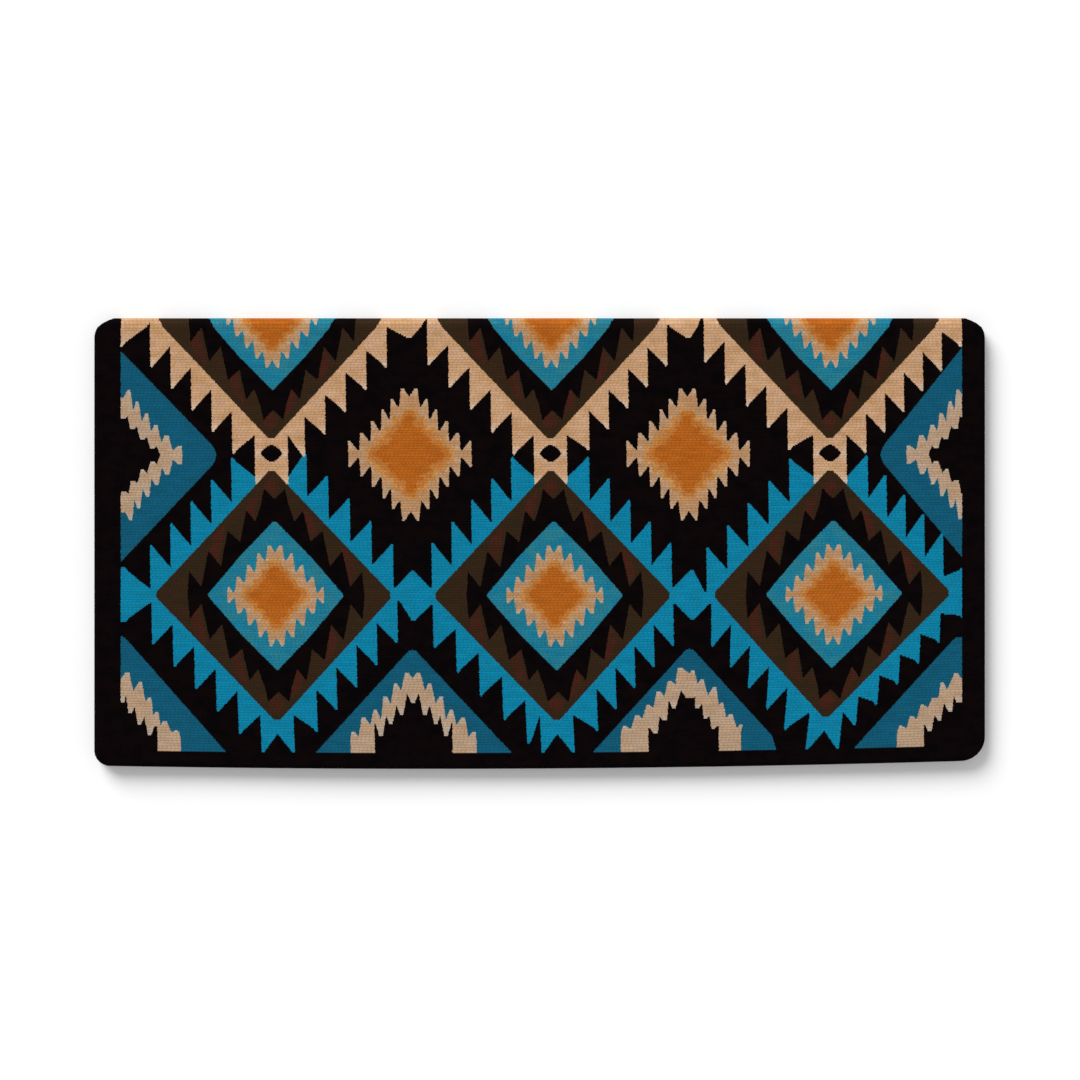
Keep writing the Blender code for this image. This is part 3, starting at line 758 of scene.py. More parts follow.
@dataclass
class Lattice:
    """The tan zigzag under the fold and the turquoise lattice below it, in their columns."""

    fold_half: Point = (110.1, 117.7)
    row_half: Point = (115.8, 123.0)
    row: float = 275.8
    leg_half: float = 16.5
    leg_end: float = 164.6
    eye_v: float = 134.0
    eye: tuple[Point, ...] = ((0.0, 8.8), (4.0, 7.4), (8.0, 4.0), (11.0, 0.6))
    hem_notch: float = 413.5
    hem_tip: float = 54.0
    tan_arms: Arms = (
        ((39, 20.2), (33.5, 20.8)), ((38, 20.9), (39, 19.8)), ((42, 20.6), (36.5, 19.2)),
    )
    high_arms: Arms = (
        ((40.3, 20.6), (35, 21.3)), ((39.5, 20.2), (38.5, 20.3)), ((41, 21), (37.5, 18.6)),
    )
    low_arms: Arms = (
        ((38.5, 20.9), (40.5, 20.8)), ((30.5, 22.3), (41, 19.9)), ((40.5, 20), (30.8, 19.5, 43.5)),
    )

    def zigzag(self) -> list[Area]:
        """The tan band under the fold's frames, with its eyes.

        Returns:
            The band and the eyes in it.
        """

        def legs(u: float) -> Outline:
            """The two legs below a frame."""
            return [(u - self.leg_half, self.leg_end), (u + self.leg_half, self.leg_end)]

        band = Band(self.fold_half, 0.0, 1, 15.5, (58.5, 55.5), 18.6, self.tan_arms)
        low = band.edge(legs)
        made = [Area(Yarn.TAN, low + [(u, -v) for u, v in reversed(low)])]
        made += [Area(Yarn.BLACK, around(u, self.eye_v, self.eye)) for u in FOLD_CENTRES]
        return made

    def bands(self) -> list[Area]:
        """The turquoise bands round the row's frames.

        Returns:
            One area.
        """
        high = Band(self.row_half, self.row, -1, 12.5, (57.5, 56.5), 24.5, self.high_arms)
        low = Band(self.row_half, self.row, 1, 13.5, (57.0, 56.0), 24.5, self.low_arms)

        def under(u: float) -> Outline:
            """The edge that passes under the legs."""
            v = high.smooth(self.leg_half) - high.notch
            return [(u - self.leg_half, v), (u + self.leg_half, v)]

        def apex(u: float) -> Outline:
            """The pair of teeth over the hem."""
            tip = low.smooth(self.leg_half) + self.hem_tip
            return [(u - self.leg_half, tip), (u, self.hem_notch), (u + self.leg_half, tip)]

        return [Area(Yarn.TURQUOISE, high.edge(under) + low.edge(apex)[::-1])]


@dataclass(frozen=True)
class Spikes:
    """A diamond of upright spikes, given by the tips and the gaps of one quarter."""

    tips: tuple[Point, ...]
    gaps: tuple[Point, ...]
    end: float
    dip: float = 5.0
    blunt: Point = (1.8, 0.4)
    round_gap: Point = (2.2, 1.0)

    def outline(self, u: float, v: float, share: float = 1.0) -> Outline:
        """Draws the spikes.

        Args:
            u: The middle across.
            v: The middle along.
            share: Their size against the full one.

        Returns:
            The closed outline.
        """
        quarter = [(0.0, self.tips[0][1] - self.dip)]
        for i, (a, b) in enumerate(self.tips):
            quarter += [(a - self.blunt[0], b), (a + self.blunt[1], b)]
            if i < len(self.gaps):
                c, d = self.gaps[i]
                quarter += [(c, d), (c + self.round_gap[0], d + self.round_gap[1])]
            else:
                quarter.append((self.end, 0.0))
        return around(u, v, [(a * share, b * share) for a, b in quarter])


@dataclass(frozen=True)
class SpikedDiamond:
    """Diamonds of spikes laid one on another, outermost first."""

    layers: tuple[tuple[Yarn, Spikes], ...]

    def areas(self, u: float, v: float, share: float = 1.0) -> list[Area]:
        """Every area of one diamond.

        Args:
            u: The middle across.
            v: The middle along.
            share: Its size against the full one.

        Returns:
            The areas, outermost first.
        """
        return [Area(yarn, spikes.outline(u, v, share)) for yarn, spikes in self.layers]


FLAME = SpikedDiamond((
    (Yarn.WHEAT, Spikes(
        ((7.8, 66), (18.2, 55), (27.3, 44), (38, 33), (49, 21.5), (61.2, 12.5)),
        ((10.3, 47), (19.2, 35), (28.6, 23), (39, 12.5), (50.8, 3.5)), 61.5, 9.0,
    )),
    (Yarn.AMBER, Spikes(
        ((5.5, 46), (15.5, 37.5), (25, 28), (34.5, 18.5), (43, 8.5)),
        ((10, 37), (19.5, 27), (29, 17.5), (38.5, 7.5)), 45.0, 1.0,
    )),
    (Yarn.COPPER, Spikes(
        ((4.5, 43), (13, 33.5), (21.5, 24), (30, 15), (38, 7)),
        ((9, 32.5), (17.5, 23.5), (26, 14.5), (34, 6)), 41.0, 0.5,
    )),
    (Yarn.ORANGE, Spikes(
        ((3.5, 38), (10.5, 27.5), (18, 18.5), (26, 9.5)),
        ((7, 26), (14, 18), (22, 9)), 36.0, -1.0,
    )),
))
CORE = SpikedDiamond((
    (Yarn.WHEAT, Spikes(
        ((6.5, 50.5), (17, 41.5), (27.5, 30), (38, 18.5), (47.5, 7.5)),
        ((9.5, 34.5), (20, 23.5), (30.5, 12.5), (41, 2.5)), 48.5, 8.0,
    )),
    (Yarn.AMBER, Spikes(
        ((4.5, 36.5), (13.5, 26), (23, 16), (31, 7.5)),
        ((9, 26), (18, 16.5), (27, 7.5)), 34.5, 1.0,
    )),
    (Yarn.COPPER, Spikes(
        ((4.5, 33), (12, 24.5), (20, 16), (27, 8)),
        ((8.5, 24), (16, 15.5), (23.5, 8)), 31.0, 0.5,
    )),
    (Yarn.ORANGE, Spikes(
        ((3.5, 28), (9.5, 20.5), (16, 13.5), (22, 7)),
        ((6.5, 20), (13, 13), (19, 6.5)), 26.5, -1.0,
    )),
))


@dataclass
class Frame:
    """A brown diamond frame with its serrated black inside and its jewel."""

    ring: tuple[Point, ...] = (
        (0.0, 96.0), (10.5, 106.5), (13.5, 92.0), (19.5, 73.5), (28.5, 85.0), (35.0, 53.5),
        (47.5, 64.5), (54.5, 29.0), (67.0, 44.5), (74.5, 8.5), (86.5, 24.0), (88.5, 0.0),
    )
    ring_shift: float = 2.5
    apex_out: float = 1.2
    apex_half: float = 3.0
    gem_bulge: float = 1.7
    gem_half: Point = (67.5, 74.0)
    gem_shift: float = 2.2
    patch_tips: tuple[Point, ...] = ((19.5, 73.5), (35.0, 53.5), (54.5, 29.0), (74.5, 8.5))
    patch_sums: Point = (106.0, 118.0)
    patch_reach: tuple[float, float, float] = (9.0, 5.0, -7.0)
    apex_patch: tuple[Point, ...] = ((0.0, 97.0), (8.5, 108.0), (0.0, 119.0), (-8.5, 108.0))

    def patches(self, u: float, v: float, share: float) -> list[Area]:
        """The reddish patches that every second tooth of the frame is woven in.

        Args:
            u: The middle across.
            v: The middle along.
            share: Their size against the full one.

        Returns:
            The patches.
        """
        notch_sum, out_sum = self.patch_sums
        loops = []
        for quadrant, (a, b) in enumerate(((1, 1), (-1, 1), (-1, -1), (1, -1))):
            for t, tip in self.patch_tips[quadrant % 2 :: 2]:
                one, two, three = (t + reach for reach in self.patch_reach)
                loop = ((t, tip), (one, notch_sum - one), (two, out_sum - two),
                        (three, out_sum - three))
                loops.append([(a * x, b * y) for x, y in loop])
        loops += [[(x, side * y) for x, y in self.apex_patch] for side in (-1, 1)]
        return [
            Area(Yarn.RUST, [(u + x * share, v + y * share) for x, y in loop]) for loop in loops
        ]

    def areas(self, u: float, v: float, half: Point, share: float) -> list[Area]:
        """Every area of one frame.

        Args:
            u: The middle across.
            v: The middle along.
            half: The frame's half width and half height.
            share: The size of what is inside it against the full one.

        Returns:
            The areas, outermost first.
        """
        wide, high, cut = half[0] + self.apex_out, half[1] + self.apex_out, self.apex_half
        diamond = [(0.0, high), (cut, high), (wide, cut), (wide, 0.0)]
        at = u + self.gem_shift * share
        ring = [(x * share, y * share) for x, y in self.ring]
        gem_u, gem_v = (x * share for x in self.gem_half)
        out = self.gem_bulge
        gem = [(1.0, gem_v), (gem_u / 2 + out, gem_v / 2 + out), (gem_u, 1.0)]
        return [
            Area(Yarn.BROWN, around(u, v, diamond)),
            *self.patches(u, v, share),
            Area(Yarn.BLACK, around(u + self.ring_shift * share, v, ring)),
            Area(Yarn.GEM, around(at, v, gem)),
            *CORE.areas(at, v, share),
        ]


@dataclass
class SideChevron:
    """A teal chevron that stands on a side border, with its tan dashes.

    Its points are (distance from the tip towards the wall, distance from the middle line).
    """

    side: int
    wall: float
    reach: float
    tan_reach: float
    v: float = 135.8
    round_end: tuple[Point, ...] = ((0.0, 0.0), (1.0, 4.5), (4.0, 10.0))
    half: float = 105.0
    beyond: float = 10.0
    outer: tuple[Point, ...] = (
        (0.0, 0.0), (0.5, 9.0), (4.0, 9.0), (9.5, 4.5), (13.5, 20.0), (17.0, 20.0), (20.5, 12.5),
        (24.5, 30.0), (27.5, 30.0), (31.0, 23.0), (33.5, 41.5), (36.5, 41.5), (40.0, 33.0),
        (43.0, 54.0), (45.5, 54.0), (48.5, 44.0), (51.0, 65.5), (53.5, 65.5), (58.0, 57.0),
        (70.0, 57.0),
    )
    inner: tuple[Point, ...] = (
        (22.0, 0.0), (25.5, 9.0), (28.5, 6.0), (31.5, 6.0), (35.5, 18.5), (38.5, 15.0),
        (41.5, 15.0), (45.0, 28.5), (48.5, 25.5), (51.5, 25.5), (54.0, 39.0), (57.5, 36.0),
        (61.0, 36.0), (63.0, 47.0), (70.0, 47.0),
    )

    def areas(self) -> list[Area]:
        """Every area of the chevron.

        Returns:
            The areas, outermost first.
        """
        slope, far = self.half / self.reach, self.reach + self.beyond
        teal = [*self.round_end, (far, far * slope)]
        return [
            Area(Yarn.TEAL, self._closed(teal, self.reach)),
            Area(Yarn.SAND, self._closed(self.outer, self.tan_reach)),
            Area(Yarn.BLACK, self._closed(self.inner, self.tan_reach)),
        ]

    def _closed(self, points: Sequence[Point], reach: float) -> Outline:
        """Closes an outline from its points on one side of the middle line.

        Args:
            points: The points.
            reach: How far the outline's tip stands from the wall.

        Returns:
            The closed outline.
        """
        tip = self.wall - self.side * reach
        top = [(tip + self.side * a, self.v - b) for a, b in points]
        return tidy(top + [(u, 2 * self.v - b) for u, b in reversed(top)])


@dataclass
class HemChevron:
    """A teal chevron that stands on the hem border, with its tan dashes.

    The tips are (distance from the middle, photo's y); a dash leans between its two tips.
    """

    apex: Outline
    half: float
    high: tuple[Point, ...]
    high_gaps: tuple[Point, ...]
    low: tuple[Point, ...]
    low_gaps: tuple[Point, ...]
    foot: Point
    end_y: float = 750.5
    beyond: float = 8.0
    blunt: float = 1.6

    def halves(self) -> list[tuple[Yarn, Outline]]:
        """The half outlines of the chevron's areas.

        Returns:
            Yarns and points as (distance from the middle, photo's y), outermost first.
        """
        under = self.end_y + self.beyond
        slope = (self.end_y - self.apex[-1][1]) / (self.half - self.apex[-1][0])
        teal = [*self.apex, (self.half + self.beyond / slope, under)]
        rise: Outline = [(0.0, self.high_gaps[0][1])]
        for i, (a, y) in enumerate(self.high):
            rise += [(max(a - self.blunt, 0.0), y), (a + self.blunt, y)]
            if i + 1 < len(self.high):
                rise.append(self.high_gaps[i + 1])
        rise += [(self.foot[1], self.high[-1][1] + self.beyond), (self.foot[1], under)]
        fall: Outline = [(0.0, self.low[0][1])]
        for (a, y), (b, z) in zip(self.low, self.low_gaps):
            fall += [(max(a - self.blunt, 0.0), y), (a + self.blunt, y), (b, z)]
        fall += [(self.foot[0], self.low_gaps[-1][1]), (self.foot[0], under)]
        return [(Yarn.TEAL, teal), (Yarn.SAND, rise), (Yarn.BLACK, fall)]

    def areas(self, u: float, left: HemChevron | None = None) -> list[Area]:
        """Every area of the chevron.

        Args:
            u: The middle across.
            left: The chevron that its left half is drawn from, when it isn't its own mirror.

        Returns:
            The areas, outermost first.
        """
        return [
            Area(yarn, tidy([(u - a, y - MIDDLE_Y) for a, y in reversed(far)]
                            + [(u + a, y - MIDDLE_Y) for a, y in near]))
            for (yarn, near), (_, far) in zip(self.halves(), (left or self).halves())
        ]


HEM_CHEVRON = HemChevron(
    apex=[(0.0, 649.0), (4.0, 650.5), (9.0, 656.0)],
    half=97.0,
    high=((6, 672), (17, 683), (28, 695), (38, 709), (50, 716.5), (60.5, 731)),
    high_gaps=((0, 677), (12, 690), (22.5, 703), (32.5, 719), (43, 724), (55, 736)),
    low=((0, 702), (11.5, 714), (22.5, 722.5), (32.5, 735)),
    low_gaps=((6, 692), (16.5, 704), (27, 714), (38, 722)),
    foot=(39.0, 63.0),
)
RIGHT_HEM_CHEVRON_LEFT = HemChevron(
    apex=[(0.0, 649.0), (4.0, 650.5), (9.0, 656.0)],
    half=97.0,
    high=((10.3, 667.5), (20.4, 681), (31.6, 691), (42.3, 705), (53.5, 715), (66, 726)),
    high_gaps=((0, 674), (14.5, 685), (26, 697), (37, 708), (48, 718.5), (60, 729)),
    low=((2.7, 698), (16.5, 708), (25.5, 721), (35, 734)),
    low_gaps=((9.2, 690), (21.5, 700), (31, 716), (40.5, 728)),
    foot=(42.5, 70.0),
)
RIGHT_HEM_CHEVRON = HemChevron(
    apex=[(0.0, 649.0), (4.0, 650.5), (9.0, 656.0), (81.0, 737.0)],
    half=85.0,
    high=((3, 671), (12, 680), (24.5, 687.5), (31.5, 704), (40.5, 715), (50.5, 726)),
    high_gaps=((0, 674), (7.5, 685), (17.5, 696), (28.3, 706), (35.5, 719), (46, 729)),
    low=((2.7, 698), (6.5, 709), (15, 719.5), (22.5, 729)),
    low_gaps=((5, 692), (11.8, 704), (18.8, 716), (26.3, 727)),
    foot=(28.0, 50.0),
)
LEFT_CORNER_CHEVRON = HemChevron(
    apex=[(0.0, 637.0), (4.0, 637.5), (8.0, 641.0)],
    half=104.0,
    high=((8, 673), (20.5, 683), (29.5, 698), (36.5, 713), (44.5, 721.5), (56, 731)),
    high_gaps=((0, 681), (13.5, 692), (25.5, 703), (33, 716), (40, 726), (51, 733)),
    low=((2.5, 703), (10, 714), (19, 725), (29, 736)),
    low_gaps=((6, 695), (14.5, 707), (24, 717), (34, 727)),
    foot=(37.0, 60.0),
)
RIGHT_CORNER_CHEVRON = HemChevron(
    apex=[(0.0, 640.0), (4.0, 640.5), (8.0, 644.0)],
    half=107.0,
    high=((5, 677), (19, 687), (27.5, 701.5), (39, 709), (50, 720.5), (61, 730)),
    high_gaps=((0, 683), (14, 694), (23, 703), (33, 712), (45, 724), (55.5, 733)),
    low=((3, 707.5), (11, 716.5), (22.5, 725), (32, 736)),
    low_gaps=((7.5, 700), (17.5, 708), (27, 719), (37, 729)),
    foot=(38.0, 65.0),
)


@dataclass
class Draft:
    """The whole pattern of a flap, as areas woven one over another."""

    cloth: Cloth
    lean: float = 0.0142
    fold_share: float = 0.945
    flame_centres: Point = (-131.2, 147.0)
    flame_v: float = 134.6
    hem_centres: Point = (-131.6, 145.6)
    drift_start: float = 255.0
    drift_reach: float = 170.0
    drift: tuple[Point, ...] = (
        (-420, 0), (-300, 2.5), (-240, 2.5), (-150, 0), (-40, 3.3), (60, 3.3), (140, 0),
        (200, -11), (430, -11),
    )
    lattice: Lattice = field(default_factory=Lattice)
    frame: Frame = field(default_factory=Frame)
    areas: list[Area] = field(default_factory=list)

    def __post_init__(self) -> None:
        """Draws the pattern, leans it and lays the borders over its ends."""
        drawn = self.lattice.bands() + self.lattice.zigzag()
        for u in FOLD_CENTRES:
            drawn += self.frame.areas(u, 0.0, self.lattice.fold_half, self.fold_share)
            drawn += self.frame.areas(u, self.lattice.row, self.lattice.row_half, 1.0)
        for u in self.flame_centres:
            drawn += FLAME.areas(u, self.flame_v)
        leant = [self.leaning(a, drifts=True) for a in drawn]
        drawn = HEM_CHEVRON.areas(self.hem_centres[0])
        drawn += RIGHT_HEM_CHEVRON.areas(self.hem_centres[1], RIGHT_HEM_CHEVRON_LEFT)
        wall_lean = self.lean * SideChevron.v
        drawn += SideChevron(-1, LEFT_WALL - wall_lean, 95.5, 61.5).areas()
        drawn += SideChevron(1, RIGHT_WALL - wall_lean, 81.5, 55.5).areas()
        hem_lean = self.lean * (HEM_CHEVRON.end_y - MIDDLE_Y)
        drawn += LEFT_CORNER_CHEVRON.areas(LEFT_WALL - hem_lean)
        drawn += RIGHT_CORNER_CHEVRON.areas(RIGHT_WALL - hem_lean)
        leant += [self.leaning(a) for a in drawn]
        self.areas = leant + self.borders()

    def leaning(self, area: Area, drifts: bool = False) -> Area:
        """Leans an area as the woven rows do, and scales it to the cloth.

        Args:
            area: The area in the photograph's pixels.
            drifts: Whether it is also drawn aside near the hem.

        Returns:
            The area in metres.
        """
        return Area(area.yarn, [
            ((u + DRAFT_ASIDE + self.lean * v + drifts * self.drift_at(u, v)) * PIXEL, v * PIXEL)
            for u, v in area.outline
        ])

    def drift_at(self, u: float, v: float) -> float:
        """How far the columns are drawn aside near the hem.

        Args:
            u: Place across, in the photograph's pixels.
            v: Place along, in the photograph's pixels.

        Returns:
            The shift across.
        """
        past = max(v - self.drift_start, 0.0) / self.drift_reach
        return past**2 * float(np.interp(u, *zip(*self.drift)))

    def borders(self) -> list[Area]:
        """The black borders at the sides and the hem.

        Returns:
            Three areas that reach past the cloth.
        """
        far = self.cloth.width
        left, right = ((wall + DRAFT_ASIDE) * PIXEL for wall in (LEFT_WALL, RIGHT_WALL))
        over, end = self.cloth.hem_v + self.cloth.hem_border, self.cloth.field_end
        return [
            Area(Yarn.BLACK, [(-far, -over), (left, -over), (left, over), (-far, over)]),
            Area(Yarn.BLACK, [(right, -over), (far, -over), (far, over), (right, over)]),
            Area(Yarn.BLACK, [(-far, end), (far, end), (far, over), (-far, over)]),
        ]

    def yarns_at(self, us: np.ndarray, v: float) -> list[Yarn]:
        """The yarn at places along one row.

        Args:
            us: Places across.
            v: The row's place along.

        Returns:
            A yarn for each place.
        """
        found = [Yarn.BLACK] * len(us)
        for area in self.areas:
            odd = np.zeros(len(us), bool)
            for cut in area.cuts(v):
                odd ^= us < cut
            for i in np.flatnonzero(odd):
                found[i] = area.yarn
        return found

    def crossings(self, v: float) -> list[float]:
        """Where the outlines cross one row.

        Args:
            v: The row's place along.

        Returns:
            Places across, in order.
        """
        return sorted({cut for area in self.areas for cut in area.cuts(v)})


@dataclass
class Run:
    """A length of one yarn in a row, and between which widths it counts as thin."""

    left: float
    right: float
    yarn: Yarn
    wide: float = 0.0115
    taper: float = 0.0075

    @property
    def narrow(self) -> float:
        """How thin the run is, from 0 for a wide one to 1 for the tip of a tooth."""
        return float(np.clip((self.wide - (self.right - self.left)) / self.taper, 0.0, 1.0))


@dataclass
class Loom:
    """Weaves rows of weft from the draft, each a little uneven."""

    draft: Draft
    wobble: float = 0.00022
    ragged: float = 0.002
    held: int = 3
    warm: tuple[Yarn, ...] = (Yarn.WHEAT, Yarn.AMBER, Yarn.COPPER, Yarn.ORANGE)
    least: float = 0.0006
    give: float = 0.3
    column: float = 0.0140
    clear: float = 0.0020
    seeds: tuple[int, int, int] = (70_000, 140_000, 5_000)
    rows: dict[int, list[Run]] = field(default_factory=dict)

    def row(self, number: int) -> list[Run]:
        """The runs of yarn in a row.

        Args:
            number: The row's number from the fold, below zero on the lower flap.

        Returns:
            The runs from left to right.
        """
        if number not in self.rows:
            self.rows[number] = self._weave(number)
        return self.rows[number]

    def _weave(self, number: int) -> list[Run]:
        """Weaves one row.

        Args:
            number: The row's number.

        Returns:
            The runs from left to right.
        """
        v = abs((number + 0.5) * self.draft.cloth.pick)
        far = self.draft.cloth.width / 2
        cuts = [-far, *(c for c in self.draft.crossings(v) if abs(c) < far), far]
        middles = np.array([(a + b) / 2 for a, b in zip(cuts, cuts[1:])])
        yarns = self.draft.yarns_at(middles, v)
        runs: list[Run] = []
        for a, b, yarn in zip(cuts, cuts[1:], yarns):
            if runs and (runs[-1].yarn is yarn or b - a < self.least):
                runs[-1].right = b
            else:
                runs.append(Run(a, b, yarn))
        each, held, start = self.seeds
        quick = np.random.default_rng(each + number + start)
        slow = np.random.default_rng(held + number // self.held + start)
        for one, two in zip(runs, runs[1:]):
            limit = min(one.right - one.left, two.right - two.left) * self.give
            shift, step = quick.normal(0.0, self.wobble), slow.normal(0.0, self.ragged)
            if one.yarn in self.warm and two.yarn in self.warm:
                shift += step
            one.right = two.left = one.right + float(np.clip(shift, -limit, limit))
        return runs

    def across(self, left: float, right: float, rows: Iterable[int]) -> np.ndarray:
        """The mesh's points across one line between two rows.

        Args:
            left: Where the line starts.
            right: Where it ends.
            rows: The rows before and after it.

        Returns:
            Places across, in order.
        """
        ends = {r.right for row in rows for r in self.row(row)[:-1] if left < r.right < right}
        cuts = np.array(sorted(ends))
        plain = np.arange(int(left / self.column), int(right / self.column) + 1) * self.column
        plain = plain[(plain > left + self.clear) & (plain < right - self.clear)]
        if len(cuts):
            plain = plain[np.abs(plain[:, None] - cuts[None]).min(axis=1) > self.clear]
        return np.array(sorted([left, *plain, *cuts, right]))


# ---------------------------------------------------------------- meshes of cloth


@dataclass
class Weave:
    """A mesh under construction: its points, faces and what each face is woven from."""

    name: str
    points: list[np.ndarray] = field(default_factory=list)
    normals: list[np.ndarray] = field(default_factory=list)
    places: list[np.ndarray] = field(default_factory=list)
    faces: list[tuple[int, ...]] = field(default_factory=list)
    yarns: list[Yarn] = field(default_factory=list)
    narrow: list[float] = field(default_factory=list)
    count: int = 0

    def add(self, points: np.ndarray, normals: np.ndarray, places: np.ndarray) -> np.ndarray:
        """Adds points.

        Args:
            points: Where they are.
            normals: Which way the surface faces there.
            places: Their u, v and face of the cloth.

        Returns:
            Their numbers.
        """
        self.points.append(points)
        self.normals.append(normals)
        self.places.append(places)
        made = np.arange(self.count, self.count + len(points))
        self.count += len(points)
        return made

    def face(
        self, corners: Iterable[int], yarn: Yarn = Yarn.BLACK, narrow: float = 0.0
    ) -> None:
        """Adds a face of one yarn.

        Args:
            corners: The numbers of its points.
            yarn: What it is woven from.
            narrow: How thin its run of yarn is.
        """
        self.faces.append(tuple(int(c) for c in corners))
        self.yarns.append(yarn)
        self.narrow.append(narrow)

    def fill(self, *rows: Sequence[int]) -> None:
        """Adds black faces that each take one corner from every row of points."""
        for corners in zip(*rows):
            self.face(corners)

    def side(self, columns: Sequence[np.ndarray], side: int) -> None:
        """Fills a side edge's columns of points with black faces.

        Args:
            columns: The columns, from the fold towards the hem.
            side: -1 for the left edge and 1 for the right one.
        """
        for one, two in zip(columns, columns[1:]):
            rows = (one[:-1], one[1:], two[1:], two[:-1])
            self.fill(*(rows if side < 0 else rows[::-1]))

    def row(self, across: Sequence[np.ndarray], ids: Sequence, runs: list[Run], face: int) -> None:
        """Fills one row between two lines, a run of yarn at a time.

        Args:
            across: The two lines' places across.
            ids: The two lines' points.
            runs: The row's runs.
            face: 1 for the face that is up or outside and -1 for the other.
        """
        near, far = across
        for run in runs:
            spans = []
            for us in (near, far):
                start = int(np.searchsorted(us, max(run.left, us[0]) - SLACK))
                stop = int(np.searchsorted(us, min(run.right, us[-1]) + SLACK)) - 1
                spans.append((start, stop))
            (i, last_i), (j, last_j) = spans
            while i < last_i or j < last_j:
                if j >= last_j or (i < last_i and near[i + 1] <= far[j + 1]):
                    corners = (ids[0][i], ids[0][i + 1], ids[1][j])
                    i += 1
                else:
                    corners = (ids[0][i], ids[1][j + 1], ids[1][j])
                    j += 1
                self.face(corners[::-1] if face > 0 else corners, run.yarn, run.narrow)

    def finish(self, materials: dict[Yarn, bpy.types.Material]) -> bpy.types.Object:
        """Makes the object.

        Args:
            materials: The material of each yarn.

        Returns:
            The new object, in the frame's own axes.
        """
        mesh = bpy.data.meshes.new(self.name)
        points = np.concatenate(self.points)
        mesh.from_pydata(points.tolist(), [], self.faces)
        order = [y for y in Yarn if y in set(self.yarns)]
        for yarn in order:
            mesh.materials.append(materials[yarn])
        numbers = {yarn: i for i, yarn in enumerate(order)}
        index = np.array([numbers[y] for y in self.yarns], np.int32)
        mesh.polygons.foreach_set("material_index", index)
        mesh.polygons.foreach_set("use_smooth", np.ones(len(self.faces), bool))
        cloth = mesh.attributes.new("cloth", "FLOAT_VECTOR", "POINT")
        cloth.data.foreach_set("vector", np.concatenate(self.places).astype(np.float32).ravel())
        narrow = mesh.attributes.new("narrow", "FLOAT", "FACE")
        narrow.data.foreach_set("value", np.array(self.narrow, np.float32))
        mesh.update()
        mesh.normals_split_custom_set_from_vertices(np.concatenate(self.normals).tolist())
        return placed(self.name, mesh)


@dataclass
class Lay:
    """How the cloth lies: its ribs, its slow waves and the bow of its hem."""

    cloth: Cloth
    rib: float = 0.00013
    wave: float = 0.0005
    hem_out: float = 0.0012
    tilt: float = 0.0028
    bow: float = 0.0058
    calm: Point = (0.02, 0.08)
    long_wave: tuple[float, float, float, float] = (17.0, 1.3, 14.0, 5.0)
    short_wave: tuple[float, float, float] = (31.0, 23.0, 0.4)
    short_share: float = 0.6

    def ridge(self, v: np.ndarray) -> np.ndarray:
        """The height of the ribs at v, from crest to valley."""
        return self.rib * np.cos(math.pi * v / self.cloth.pick)

    def waves(self, u: np.ndarray, v: np.ndarray) -> np.ndarray:
        """The slow waves of the lying cloth.

        Args:
            u: Place across.
            v: Place along.

        Returns:
            How much the cloth stands up, in metres.
        """
        calm = np.clip((np.abs(v) - self.calm[0]) / self.calm[1], 0.0, 1.0)
        across, start, along, skew = self.long_wave
        high = np.sin(u * across + start) * np.sin(v * along + u * skew)
        across, along, start = self.short_wave
        high = high + self.short_share * np.sin(u * across - v * along + start)
        return self.wave * calm * (high + 1 + self.short_share) / 2

    def hem(self, u: np.ndarray, v: np.ndarray) -> np.ndarray:
        """How far the hem's bow moves a point along the cloth.

        Args:
            u: Place across.
            v: Place along.

        Returns:
            The change of v's size, in metres.
        """
        share = (np.abs(v) / self.cloth.hem_v) ** 2
        across = u / (self.cloth.width / 2)
        return share * (self.hem_out - self.tilt * across - self.bow * across**2)


@dataclass
class ClothPiece:
    """What every piece of the blanket is made with."""

    cloth: Cloth
    loom: Loom
    lay: Lay


